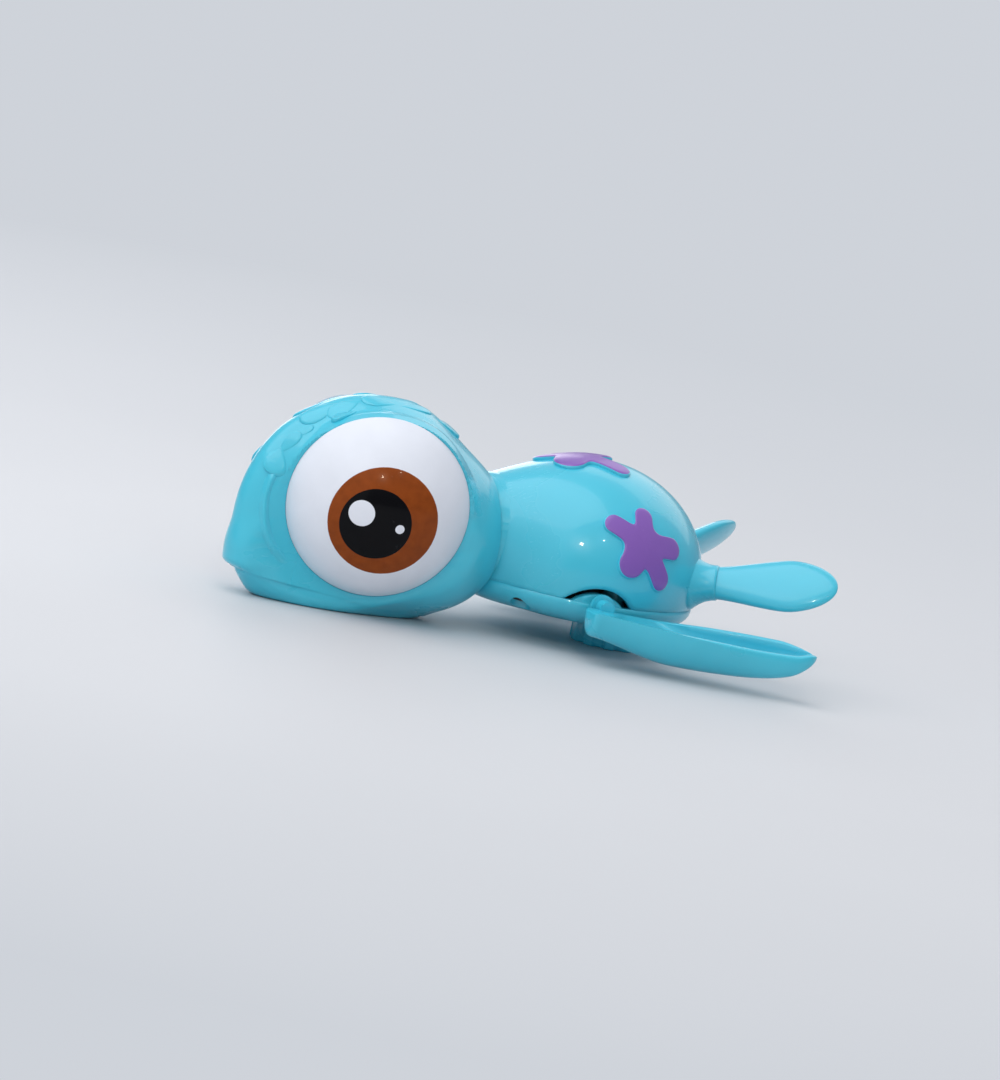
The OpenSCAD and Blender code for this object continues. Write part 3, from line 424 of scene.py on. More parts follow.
def dome_tip(wall):
    high = float(reach(body_from, np.array([0, 0, 1.0]), body_lobes)) - wall
    return body_from + np.array([0, 0, high])


def raised(name, start, far_of, at, out, along, outline, profile):
    """A low pad that follows a moulding's skin: an outline, drawn in by shares at given heights."""
    at, out = np.array(at, float), np.array(out, float) / np.linalg.norm(out)
    along = np.array(along, float) - np.dot(along, out) * out
    along /= np.linalg.norm(along)
    across = np.cross(out, along)

    def lay(share, height):
        way = at + share * (outline[:, :1] * along + outline[:, 1:] * across) - start
        way /= np.linalg.norm(way, axis=1)[:, None]
        return start + way * (far_of(way) + height)[:, None]

    rings = [lay(*step) for step in profile]
    return skin_over(name, rings, lay(0, profile[0][1])[0], lay(0, profile[-1][1])[0])


def arm_reach(off, long, half):
    """Reach of a round-ended arm from the pad's middle, at an angle off the arm's direction."""
    along, across = np.cos(off), abs(np.sin(off))
    end = long * along + np.sqrt(np.maximum(half ** 2 - (long * across) ** 2, 0))
    flank = half / np.maximum(across, 1e-6)
    return np.where(along <= 0, half, np.where(half * along <= long * across, flank, end))


def handed(thing, side):
    """Leaves a left-hand form as it is, and mirrors it for the right-hand side."""
    if side < 0:
        thing.data.transform(Matrix.Scale(-1, 4, (0, 1, 0)))
        thing.data.flip_normals()
    return thing


def starfish(at, arms, side):
    """A raised starfish pad: arms are (direction, length to the end's centre, half width)."""
    out = (np.array(at) - dome_at) / dome_half ** 2
    t = np.linspace(0, 2 * np.pi, 240, endpoint=False)
    r = star_middle_r + 0 * t
    for turn, long, half in arms[::-1]:
        r = soft_max(arm_reach(t - math.radians(turn), long, half), r, 1.6)
    x, y = r * np.cos(t), r * np.sin(t)
    across = np.cross((0, 0.02, 1), out)
    profile = [(1.01, -0.9), (1.01, 0.2), (1, 0.42), (0.975, 0.6), (0.94, 0.72), (0.9, 0.78), (0.84, 0.8),
               (0.7, 0.8), (0.5, 0.8), (0.3, 0.8), (0.12, 0.8)]
    pad = raised("starfish", body_from, lambda way: reach(body_from, way, body_lobes), at, out, across,
                 np.stack([x, y], 1), profile)
    underside = len(profile) - 1
    for face in pad.data.polygons:
        band = face.index // len(t)
        face.material_index = int(band >= first_painted_band and band != underside)
    return handed(pad, side)


def laid_on(base, *others):
    """Joins loose skins into one mesh and keeps their finishes."""
    work = bmesh.new()
    for thing in (base, *others):
        work.from_mesh(thing.data)
    work.to_mesh(base.data)
    work.free()
    for thing in others:
        bpy.data.objects.remove(thing)
    return base


lifts = np.pi / 2 * np.arange(90) / 90
inner_lifts = np.pi / 2 * np.arange(16) / 16
carapace = skin_over("carapace_moulding",
                     [dome_ring(v, body_wall) for v in inner_lifts[::-1]] + [dome_ring(v, 0) for v in lifts],
                     dome_tip(body_wall), dome_tip(0))
add(carapace, neck_tube("neck_tube_high", False))
for x, y in body_screw_at:
    off = np.array([x, y]) - dome_at[:2]
    u, v = off * (1 + post_r / math.hypot(*off)) / dome_half[:2]
    post_top = dome_at[2] + dome_half[2] * math.sqrt(max(1 - u * u - v * v, 0)) - body_wall / 2
    add(carapace, rod(post_r, (x, y, seam_z), (x, y, post_top), 48))
    cut(carapace, rod(thread_hole_r, (x, y, seam_z - 1), (x, y, 16.2), 32))


def leg_turned(thing, side):
    """Brings a form along x to the root of a rear leg."""
    turns = ((180 - leg_splay, "Z"), (-leg_rise, "Y"), (leg_bank, "X"))
    place = Matrix.Translation(leg_root)
    for angle, axis in turns:
        place = place @ Matrix.Rotation(math.radians(angle), 4, axis)
    thing.data.transform(place)
    return handed(thing, side)


def haunch(side):
    """A low cone on the dome from which a rear leg stands out."""
    around = np.linspace(0, 2 * np.pi, 72, endpoint=False)
    steps = [(-3, 2)] + [(x, 0.9 * (1 - x / haunch_long) ** 2) for x in np.linspace(-1.5, haunch_long, 16)]
    steps += [(haunch_long + haunch_edge * math.sin(a), -haunch_edge * (1 - math.cos(a)))
              for a in np.linspace(0.3, np.pi / 2, 6)]
    rings = [np.stack([x + 0 * around, (haunch_w + wide) * np.cos(around),
                       (haunch_t + wide) * np.sin(around)], 1) for x, wide in steps]
    return leg_turned(skin_over("haunch", rings, (-3, 0, 0), (haunch_long + haunch_edge, 0, 0)), side)


add(carapace, haunch(1), haunch(-1))
cut(carapace, rod(arch_r, (axle_x, -44, arch_z), (axle_x, 44, arch_z), 160))
for side in (1, -1):
    flip = np.array([1, side, 1])
    cut(carapace, rod(peg_r + 0.1, (leg_root - 7 * leg_way) * flip, (leg_root + 14 * leg_way) * flip))
flank_at = (5.6, 20.4, 24.2)
flank_arms = [(147, 8, 2.1), (85, 6.6, 2.1), (2, 7.7, 2.4), (307, 8.6, 2.2), (238, 4.9, 2.9)]
top_at = (14, -0.5, 36.6)
top_arms = [(328, 4.4, 3.4), (54, 10.2, 2.2), (120, 6.6, 2), (171, 6.6, 2), (251, 7.2, 2.3)]
laid_on(carapace, starfish(flank_at, flank_arms, 1), starfish(flank_at, flank_arms, -1),
        starfish(top_at, top_arms, 1))
fitted(carapace, "body", [sea_plastic, star_paint], ["carapace"])


# Rear legs: two solid paddles in the same plastic, each with a round peg that is pushed into
# the carapace and cemented. The root is shaped to the dome, and the paddle lies banked.

leg_from, leg_long, leg_half_w, leg_half_t = -2, 30, 6.2, 2


def ease(a, b, t):
    """Rises softly from 0 to 1 as a value goes from a to b."""
    k = np.clip((t - a) / (b - a), 0, 1)
    return k * k * (3 - 2 * k)


for word, side in (("left", 1), ("right", -1)):
    around = np.linspace(0, 2 * np.pi, 56, endpoint=False)
    rings = []
    for s in 0.997 * np.sin(np.linspace(0, np.pi / 2, 60)):
        shut = math.sqrt(1 - (max(s - 0.62, 0) / 0.38) ** 2)
        half_w = leg_half_w * (0.54 + 0.46 * ease(0.05, 0.75, s)) * shut
        half_t = leg_half_t * (1 + 0.3 * (1 - ease(0.05, 0.3, s))) * shut
        rings.append(np.stack([leg_from + leg_long * s + 0 * around, half_w * np.cos(around),
                               half_t * np.sin(around)], 1))
    leg = skin_over(f"rear_leg_{word}_paddle", rings, (leg_from, 0, 0), (leg_from + leg_long, 0, 0))
    leg_turned(leg, 1)
    cut(leg, skin_over("dome", [dome_ring(v, 0) for v in lifts], body_from, dome_tip(0)), haunch(1))
    add(leg, rod(peg_r, leg_root - 2 * leg_way, leg_root + 6 * leg_way))
    fitted(handed(leg, side), "body", [sea_plastic], [f"rear_leg_{word}"])


# Head shell: the upper head moulding, glued on the neck tube. Two round sockets take the eyes,
# a soft ridge runs in front of each socket, and low leaf scales lie over the brow and crown.

head_x, eye_y, eye_z = 56.9, 1.7, 23.4
eye_at = {s: np.array([head_x, s * eye_y, eye_z]) for s in (1, -1)}
eye_way = {s: toward(np.radians(s * 73.3), np.radians(-5.0)) for s in (1, -1)}
eye_r, eye_rim_r = 20.5, 18.3
eye_rim_d = math.sqrt(eye_r ** 2 - eye_rim_r ** 2)
head_from = np.array([head_x, 0, 16.5])
head_lobes = [((head_x, 0, eye_z), (19.9, 21.6, 19.9)), ((61.5, 0, 16.5), (24, 8.5, 26)),
              ((65, 0, 9), (19.5, 16, 10)), ((45.7, 0, 18.3), (18.5, 17.5, 17.5))]
mouth_at, mouth_rise = np.array([head_x, 0, 2.4]), math.radians(5.7)
mouth_out = np.array([-math.sin(mouth_rise), 0, math.cos(mouth_rise)])
head_wall, snout_wall, socket_r, socket_deep = 2, 1.6, 17.7, 3.5
collar_fall, collar_blend, rim_rise, rim_blend = -8, 2.2, 0.4, 3
snout_x, ridge_off, ridge_half_w, ridge_high = 58, 22.7, 1.1, 0.85
jaw_screw_at = [(59, 4), (59, -4)]


def round_eye(p, side):
    """Distance of points from an eye's axis, their height along it and their place round it."""
    rel = p - eye_at[side]
    high = rel @ eye_way[side]
    rest = rel - high[..., None] * eye_way[side]
    front = np.cross(eye_way[side], (0, 0, 1)) * side
    up = np.cross(front, eye_way[side]) * side
    return np.linalg.norm(rest, axis=-1), high, np.degrees(np.arctan2(rest @ up, rest @ front))


def eye_cone(way, side, start, slope):
    """Distance from the head's middle to an eye's rim plane, which turns up or down beyond a radius."""
    low, high = 0 * way[..., 0], 0 * way[..., 0] + 60
    for _ in range(26):
        middle = (low + high) / 2
        off, up, _ = round_eye(head_from + way * middle[..., None], side)
        past = up > eye_rim_d + 0.1 + slope * np.maximum(off - start, 0)
        low, high = np.where(past, low, middle), np.where(past, middle, high)
    return high, up


def head_reach(way):
    """Distance from the head's middle to its outside, which comes up or down to the rim of each eye."""
    far = reach(head_from, way, head_lobes)
    for side in (1, -1):
        collar, up = eye_cone(way, side, eye_rim_r + 0.5, collar_fall)
        far = soft_max(far, np.where(up > -2, collar - 4 * (1 - ease(1, 7, up)), 0), collar_blend)
        far = -soft_max(-far, -eye_cone(way, side, eye_rim_r, rim_rise)[0], rim_blend)
    return far


def crown_drop(way):
    """How far the crown lies below its lobes."""
    return 0.8 * ease(0.6, 0.9, way[..., 2]) * ease(-0.35, 0.1, way[..., 0])


def head_skin(way):
    """The head's outside, with its socket edges and rolled upper lip."""
    p = head_from + way * head_reach(way)[..., None]
    above = (p - mouth_at) @ mouth_out
    snout = ease(snout_x, snout_x + 12, p[..., 0])
    rise = 0.35 * snout * np.exp(-((above - 1.3) / 0.7) ** 2)
    rise -= edge_round(above, 0.02 + 0.7 * snout)
    rise -= crown_drop(way)
    for side in (1, -1):
        off, high, _ = round_eye(p, side)
        rise -= edge_round(off - eye_rim_r - 0.1 + 99 * (high < 2), 0.3)
    p = p + way * rise[..., None]
    p[..., 2] = np.maximum(p[..., 2], 0)
    return p


def calm_share(p):
    """Where the head's skin is smoothed: all round, and along the lip only."""
    off_mouth = abs((p - mouth_at) @ mouth_out)
    near_lip = ease(snout_x, snout_x + 8, p[..., 0]) * (1 - ease(1.6, 3.2, off_mouth))
    share = (1 - near_lip) * (1 - ease(36, 40, p[..., 2]))
    for side in (1, -1):
        off, high, place = round_eye(p, side)
        ridge = ease(-56, -48, place) * (1 - ease(12, 18, place)) * (1 - ease(23.6, 25.5, off))
        share *= np.where(high > 0, ease(19.2, 21, off) * (1 - ridge), 1)
    return share[..., None], near_lip[..., None]


def lobed(name, surface, turns, steps, floor, calm=0):
    """A closed head form from its surface along every way from the middle, smoothed by rounds of calm."""
    turn, lift = np.meshgrid(np.linspace(0, 2 * np.pi, turns, endpoint=False),
                             np.pi * np.arange(1, steps) / steps - np.pi / 2)
    p = surface(toward(turn, lift))
    share, lip_share = calm_share(p)
    for _ in range(calm):
        beside = (np.roll(p, 1, 1) + np.roll(p, -1, 1)) / 2
        around = (beside + (np.vstack([p[:1], p[:-1]]) + np.vstack([p[1:], p[-1:]])) / 2) / 2
        p = p + share / 2 * (around - p) + lip_share / 4 * (beside - p)
    top = surface(np.array([[0, 0, 1.0]]))[0]
    return skin_over(name, p, (*head_from[:2], floor), top)


def inner_head(way, over=0.0):
    """The inside of the head's wall, which is thicker in the snout; the jaw's lies further in."""
    inset = head_wall + snout_wall * ease(0.1, 0.4, way[..., 0])
    inset += over * (0.3 + 0.7 * np.maximum(way[..., 0], 0))
    p = head_from + way * (head_reach(way) - inset)[..., None]
    p[..., 2] = np.maximum(p[..., 2], head_wall)
    return p


def mouth_block(above):
    """Everything on one side of the mouth line."""
    half = block((-60, -60, 0), (60, 60, 120)) if above else block((-60, -60, -120), (60, 60, 0))
    half.data.transform(Matrix.Translation(mouth_at) @ Matrix.Rotation(-mouth_rise, 4, "Y"))
    return half


def eye_rod(side, radius, deep, end=30):
    """A rod along an eye's axis, from a depth below the rim."""
    start = eye_at[side] + (eye_rim_d - deep) * eye_way[side]
    return rod(radius, start, eye_at[side] + end * eye_way[side], 128)


def leaf(root, tip, half_w, side, high=0.5):
    """A low pointed scale with a soft vein, laid on the crown."""
    root, tip = np.array(root, float), np.array(tip, float)
    t = np.linspace(0, 2 * np.pi, 72, endpoint=False)
    long = np.linalg.norm(tip - root) / 2
    outline = np.stack([long * np.cos(t), half_w * np.sin(t) * abs(np.sin(t / 2)) / 0.77], 1)
    at = (root + tip) / 2
    profile = [(1, -1.2 + 0 * t)]
    levels = ((1, 0.1), (0.97, 0.5), (0.91, 0.8), (0.82, 0.95), (0.6, 1), (0.3, 1.03), (0.1, 1.05))
    for share, level in levels:
        profile.append((share, level * high * (0.2 + 0.4 * (1 - share * np.cos(t))) - 0.1))
    scale = raised("leaf", head_from, lambda way: head_reach(way) - crown_drop(way), at,
                   at - (head_x, 0, 20), tip - root, outline, profile)
    return handed(scale, side)


def socket_ridge(side):
    """A slim bead on the head's skin in front of an eye, fading out at both ends."""
    low_end, high_end = -46, 11
    place, across = np.meshgrid(np.linspace(low_end, high_end, 80), np.linspace(-1, 1, 15), indexing="ij")
    off = ridge_off - 0.0018 * (place + 14) ** 2 + ridge_half_w * across
    front = np.cross(eye_way[side], (0, 0, 1)) * side
    front /= np.linalg.norm(front)
    up = np.cross(front, eye_way[side]) * side
    turn = np.radians(place)
    base = eye_at[side] + off[..., None] * (np.cos(turn)[..., None] * front + np.sin(turn)[..., None] * up)
    low, high = 0 * off, 0 * off + 20
    for _ in range(24):
        middle = (low + high) / 2
        way = base + middle[..., None] * eye_way[side] - head_from
        far = np.linalg.norm(way, axis=-1)
        inside = far < head_reach(way / far[..., None])
        low, high = np.where(inside, middle, low), np.where(inside, high, middle)
    fade = ease(low_end, low_end + 16, place) * (1 - ease(high_end - 7, high_end, place))
    crest = low - 0.08 + ridge_high * fade * np.cos(np.pi / 2 * across) ** 1.5
    tops = base + crest[..., None] * eye_way[side]
    roots = base[:, ::14] + (low[:, ::14, None] - 1) * eye_way[side]
    rings = np.concatenate([tops, roots[:, ::-1]], axis=1)
    return skin_over("socket_ridge", rings, rings[0].mean(0), rings[-1].mean(0))


head_shell = lobed("head_shell_moulding", head_skin, 360, 200, 0, 36)
hollow = lobed("hollow", inner_head, 64, 32, head_wall)
for side, (x, y) in zip((1, -1), jaw_screw_at):
    cut(hollow, eye_rod(side, socket_r + 1.9, socket_deep + 0.2), rod(2.1, (x, y, 0), (x, y, 8)))
cut(head_shell, hollow)
for side, (x, y) in zip((1, -1), jaw_screw_at):
    cut(head_shell, eye_rod(side, socket_r, socket_deep), eye_rod(side, eye_rim_r + 0.1, 0.1),
        rod(thread_hole_r, (x, y, 0), (x, y, 7.4), 32))
cut(head_shell, rod(neck_r + 0.3, (8, 0, neck_z), (45.7, 0, neck_z), 96), mouth_block(False))
crown_leaves = [
    ((80.6, 4.6, 24.9), (79.6, 3.4, 30.6), 1.75, 1.05), ((76.1, 3.9, 34.2), (80, 3.6, 29.6), 1.1, 0.5),
    ((74, 4.2, 36), (77.4, 3.6, 33), 0.8, 0.45), ((76.2, 2.2, 36.2), (68, 1.9, 41.4), 1.9, 0.5),
    ((70.9, 5.6, 37.3), (66, 5.2, 40.9), 1.2, 0.95), ((71.4, 3.9, 38.4), (64, 2.3, 42.6), 1.7, 0.45),
    ((64.4, 2.4, 42.7), (56.8, 3.8, 43), 1.8, 0.5), ((49, 3, 41.4), (56.6, 4.2, 42.8), 1.5, 0.5),
    ((42, 2.4, 37.5), (48.4, 4.4, 41), 1.6, 0.8)]
laid_on(head_shell, *[leaf(root, tip, half_w, side, high)
                      for root, tip, half_w, high in crown_leaves for side in (1, -1)],
        socket_ridge(1), socket_ridge(-1))
fitted(head_shell, "body", [sea_plastic], ["head_shell"])


# Jaw: the lower head moulding, a shallow tray just inside the upper lip with a flat underside.
# Two screws in deep recesses pull it up to posts in the head shell.

jaw_inset, jaw_tuck, jaw_screw_seat = 0.7, 0.6, 1.4


def jaw_skin(way):
    """The jaw's outside, drawn in under the lip and flat below."""
    inset = jaw_inset * (0.3 + 0.7 * np.maximum(way[..., 0], 0)) + jaw_tuck * ease(0.5, 0.8, way[..., 0])
    p = head_from + way * (head_reach(way) - inset)[..., None]
    lip_round = 0.02 + 0.5 * ease(snout_x, snout_x + 14, p[..., 0])
    p = p - way * edge_round((mouth_at - p) @ mouth_out, lip_round)[..., None]
    p[..., 2] = soft_max(p[..., 2], 0, 0.6)
    return p


jaw = lobed("jaw_moulding", jaw_skin, 240, 130, 0, 16)
hollow = lobed("hollow", lambda way: inner_head(way, jaw_inset), 64, 32, head_wall)
for x, y in jaw_screw_at:
    cut(hollow, rod(2.7, (x, y, 0), (x, y, 4.8)))
cut(jaw, hollow)
for x, y in jaw_screw_at:
    cut(jaw, rod(head_hole_r, (x, y, -1), (x, y, jaw_screw_seat), 48),
        rod(shank_hole_r, (x, y, -1), (x, y, 6), 48))
cut(jaw, mouth_block(True))
fitted(jaw, "body", [sea_plastic], ["jaw"])


# Eyes: two white styrene domes with a skirt that is pressed into each socket. Iris, pupil and
# the two light spots are pad-printed on the dome, so their edges are crisp but not perfect.

eye_white, iris_brown, pupil_black = (0.8, 0.83, 0.9), (0.26, 0.055, 0.008), (0.002, 0.002, 0.003)
eye_shell_r, skirt_r, skirt_inner_r, skirt_deep, ink_edge = 18.9, 17.6, 16, 3, 4e-5
eye_print, takes, gives = effect(
    "eye_print",
    [("Side", "NodeSocketFloat", 1.0), ("White", "NodeSocketColor", (*eye_white, 1)),
     ("Iris", "NodeSocketColor", (*iris_brown, 1)), ("Pupil", "NodeSocketColor", (*pupil_black, 1))],
    [("Colour", "NodeSocketColor")])
spot = put(eye_print, "ShaderNodeTexCoord").outputs["Object"]
wobble = put(eye_print, "ShaderNodeTexNoise", {"Vector": spot, "Scale": 900, "Detail": 2})
turned = put(eye_print, "ShaderNodeVectorMath", {0: spot}, operation="MULTIPLY")
both = put(eye_print, "ShaderNodeCombineXYZ", {0: takes["Side"], 1: 1.0, 2: 0.0})
eye_print.links.new(both.outputs[0], turned.inputs[1])


def printed_disc(x, y, radius):
    """Mask of a printed disc at a place on the dome, in metres behind and above its middle."""
    off = put(eye_print, "ShaderNodeVectorMath", {0: turned.outputs[0], 1: (x, y, 0)}, operation="DISTANCE")
    ragged = spread(eye_print, wobble.outputs["Fac"], 0, 1, -ink_edge, ink_edge)
    edge = sums(eye_print, "ADD", off.outputs["Value"], ragged)
    return spread(eye_print, edge, radius - ink_edge, radius + ink_edge, 1, 0)


def over(under, ink, mask):
    """Lays an ink on what is under it."""
    return put(eye_print, "ShaderNodeMix", {0: mask, 6: under, 7: ink}, data_type="RGBA").outputs[2]


iris_mask = printed_disc(0.0006, -0.0007, 0.011)
pupil_mask = printed_disc(-0.0009, -0.0012, 0.0072)
big_spot = printed_disc(-0.0041, 0.0006, 0.0026)
small_spot = printed_disc(0.004, -0.0012, 0.00092)
cloud = put(eye_print, "ShaderNodeTexNoise", {"Vector": spot, "Scale": 130, "Detail": 3})
white = put(eye_print, "ShaderNodeHueSaturation",
            {"Color": takes["White"], "Value": spread(eye_print, cloud.outputs["Fac"], 0.3, 0.7, 0.97, 1.02)})
screen = put(eye_print, "ShaderNodeTexNoise", {"Vector": spot, "Scale": 500, "Detail": 4})
iris = put(eye_print, "ShaderNodeHueSaturation",
           {"Color": takes["Iris"], "Value": spread(eye_print, screen.outputs["Fac"], 0.3, 0.7, 0.9, 1.1)})
colour = over(white.outputs[0], iris.outputs[0], iris_mask)
colour = over(colour, takes["Pupil"], pupil_mask)
colour = over(colour, takes["White"], sums(eye_print, "MAXIMUM", big_spot, small_spot))
eye_print.links.new(colour, gives["Colour"])

dome_steps = np.linspace(0.02, math.asin(eye_rim_r / eye_r), 64)
eye_profile = [(eye_r * math.sin(a), eye_r * math.cos(a)) for a in dome_steps]
eye_profile += [(eye_rim_r - 0.04, eye_rim_d - 0.03), (skirt_r, eye_rim_d - 0.03),
                (skirt_r, eye_rim_d - skirt_deep), (skirt_inner_r, eye_rim_d - skirt_deep)]
eye_profile += [(eye_shell_r * math.sin(a), eye_shell_r * math.cos(a))
                for a in np.linspace(math.asin(skirt_inner_r / eye_shell_r), 0.05, 20)]
for word, side in (("left", 1), ("right", -1)):
    finish = moulded(f"eye_print_{word}", eye_white, 0.2, 0.02, 0.25, 0.000004, Coat_Weight=0.09,
                     Coat_Roughness=0.03, Specular_IOR_Level=0.08)
    tree = finish.node_tree
    marks = next(n for n in tree.nodes if n.type == "GROUP")
    ink = put(tree, "ShaderNodeGroup", {"Side": float(side)}, node_tree=eye_print)
    tree.links.new(ink.outputs["Colour"], marks.inputs["Colour"])
    around = np.linspace(0, 2 * np.pi, 160, endpoint=False)
    rings = [np.stack([r * np.cos(around), r * np.sin(around), z + 0 * around], 1) for r, z in eye_profile]
    eye = skin_over(f"eye_{word}_dome", rings, (0, 0, eye_r), (0, 0, eye_shell_r))
    fitted(eye, "body", [finish], [f"eye_{word}"])
    back = np.cross((0, 0, 1), eye_way[side])
    back /= np.linalg.norm(back)
    up = np.cross(eye_way[side], back)
    eye.matrix_world = Matrix([[back[k], up[k], eye_way[side][k], 0.001 * eye_at[side][k]] for k in range(3)]
                              + [[0, 0, 0, 1]])


# Screws: self-tapping steel screws with cheese heads and a cross recess; their steel is painted near-black as
# painted shade in their deep recesses.
# Two hold the jaw, four hold the belly pan from below, and two hold the motor's case.

# The near-black colour is painted shade for screw heads deep in their recesses, not the steel's own colour.
screw_steel = metal("steel_darkened_as_recess_shade", (0.05, 0.05, 0.055), 0.38, (700, 700, 700))


def screw(x, y, seat, length):
    """One screw, driven upward, with its head under the seat."""
    head, shank, root, pitch = 1.3, 1.1, 0.86, 0.8
    profile = [(1.2, 0), (1.85, 0.05), (2.02, 0.16), (2.1, 0.4), (2.1, head), (shank, head)]
    for k in range(int(length / pitch)):
        profile += [(root, head + pitch * k + 0.3), (shank, head + pitch * k + 0.62)]
    profile += [(root, head + length - 0.3), (0.3, head + length)]
    around = np.linspace(0, 2 * np.pi, 40, endpoint=False)
    rings = [np.stack([r * np.cos(around), r * np.sin(around), z + 0 * around], 1) for r, z in profile]
    made = skin_over("screw", rings, (0, 0, 0), (0, 0, head + length))
    for wide in ((1.25, 0.28), (0.28, 1.25)):
        cut(made, block((-wide[0], -wide[1], -0.5), (wide[0], wide[1], 0.75)))
    made.data.transform(Matrix.Translation((x, y, seat - head)))
    return made


def screw_set(name, node, places, seat, length):
    """All the like screws of one place of use, as one piece."""
    first, *rest = [screw(x, y, seat, length) for x, y in places]
    first.name = name
    laid_on(first, *rest)
    fitted(first, "body", [screw_steel], [node], 30)


screw_set("jaw_screw_pair", "jaw_screws", jaw_screw_at, jaw_screw_seat, 5.4)
screw_set("body_screw_set", "body_screws", body_screw_at, body_screw_seat, 5.6)
dress(screw_steel, "gearbox_screws")


# Front flippers: two canoe-like scoops in the same plastic, pressed on the ends of the cross axle
# by a round hub. They turn with the axle and row the toy along.

blade_long, blade_half_w, blade_deep, blade_wall, blade_lip, root_round = 45, 6.5, 7.9, 1.5, 0.35, 1.3
blade_x, blade_y, blade_sweep = axle_x + 4.6, 27.45, 11.5
hub_r, hub_y, axle_r = 2.4, 21.8, 1


def blade_rings(steps, side_steps):
    """Rings of the scoop from its rounded root to its blunt tip: outside, far lip, hollow and near lip."""
    rings = []
    a = np.linspace(0, np.pi, side_steps)
    run = 0.997 * np.sin(np.linspace(0, np.pi / 2, steps)) ** 1.05
    root = root_round / blade_long * (1 - np.cos(np.linspace(0, np.pi / 2, 9)))
    for s in np.concatenate([root, run[run > 0.035]]):
        soft, tip = edge_round(blade_long * s, root_round), edge_round(blade_long * (1 - s), 0.9)
        wide = blade_half_w * (0.5 + 0.5 * ease(0, 0.45, s) - 0.2 * ease(0.5, 0.95, s))
        wide = wide * math.sqrt(max(1 - s ** 12, 0.004)) - soft
        deep = blade_deep * (0.7 + 0.3 * ease(0, 0.4, s)) * math.sqrt(max(1 - s ** 4.2, 0.01))
        deep = max(deep - soft - tip, 0.7)
        open_ = ease(0.3, 0.6, s) * (1 - ease(0.95, 1, s))
        inner_w = max(wide - blade_wall, wide / 2)
        inner_deep = max(deep - blade_wall, deep / 2) * open_
        lean = 0.8 * ease(0.25, 0.8, s) * (1 - ease(0.88, 0.99, s))
        full = 1 - 0.45 * ease(0.5, 1, s)
        across, down = np.sign(np.cos(a)) * abs(np.cos(a)) ** full, np.clip(np.sin(a), 0, 1) ** full
        x, y = blade_x - blade_long * s, blade_y + blade_sweep * s ** 1.6
        z = axle_z + 0.2 - 0.7 * s - 0.7 * math.sin(math.pi * s) - 0.4 * soft - tip - blade_lip
        mid_lip, half_lip = (wide + inner_w) / 2, (wide - inner_w) / 2
        rolled = [(half_lip * math.cos(t), z + blade_lip * open_ * math.sin(t))
                  for t in np.linspace(0, np.pi, 6)[1:-1]]
        ring = [(y + wide * b, z - (deep - blade_lip) * c) for b, c in zip(across, down)]
        ring += [(y - mid_lip - b, c) for b, c in rolled]
        ring += [(y + inner_w * b, z - inner_deep * c) for b, c in zip(across[::-1], down[::-1])]
        ring += [(y + mid_lip - b, c) for b, c in rolled]
        rings.append([(x, b, c - lean * (b - y) / wide) for b, c in ring])
    return rings


for word, side in (("left", 1), ("right", -1)):
    flipper = skin_over(f"flipper_{word}_scoop", blade_rings(70, 26),
                        (blade_x, blade_y, axle_z - 2.9), (axle_x - 40.3, 38.9, axle_z - 1.6))
    add(flipper, rod(hub_r, (axle_x, hub_y, axle_z), (axle_x, hub_y + 0.8, axle_z), 48),
        rod(1.5, (axle_x, hub_y + 0.2, axle_z), (axle_x, hub_y + 3.5, axle_z), 48))
    cut(flipper, rod(axle_r, (axle_x, 0, axle_z), (axle_x, hub_y + 3, axle_z), 32))
    fitted(handed(flipper, side), "paddles", [sea_plastic], [f"flipper_{word}"])


# Winding knob: a fluted disc with a stem, moulded in the same plastic and pressed on the arbor.
# Its flat face stands on the table; its edges are rounded for the fingers.

knob_r, knob_high, stem_r, arbor_r = 7.5, 4.8, 2.6, 1.5
flutes, flute_at, flute_r = 10, 7.8, 1.4
turn = np.linspace(0, 2 * np.pi, 320, endpoint=False)
nearest = turn % (2 * np.pi / flutes) - np.pi / flutes
beside = flute_at * np.sin(nearest)
flute = flute_at * np.cos(nearest) - np.sqrt(np.maximum(flute_r ** 2 - beside ** 2, 0))
knob_edge = np.where(abs(beside) < flute_r, np.minimum(flute, knob_r), knob_r)
low_edge = [(0.55, 0.0), (0.25, 0.1), (0.08, 0.28), (0, 0.6)]
high_edge = [(0, 4.2), (0.08, 4.5), (0.25, 4.7), (0.55, knob_high)]
rings = [np.stack([(knob_edge - inset) * np.cos(turn), (knob_edge - inset) * np.sin(turn), z + 0 * turn], 1)
         for inset, z in low_edge + high_edge]
knob = skin_over("winding_knob_moulding", rings, (0, 0, 0), (0, 0, knob_high))
add(knob, rod(stem_r, (0, 0, 4), (0, 0, 8.3), 96))
cut(knob, rod(arbor_r, (0, 0, 2), (0, 0, 9), 48))
fitted(knob, "winder", [sea_plastic], ["winding_knob"])


# Studio: a pale floor under soft lamps, with a long lens at the photograph's angle. The lamps
# hang well away, so that they show only as soft lights in the gloss; two small ones give glints.

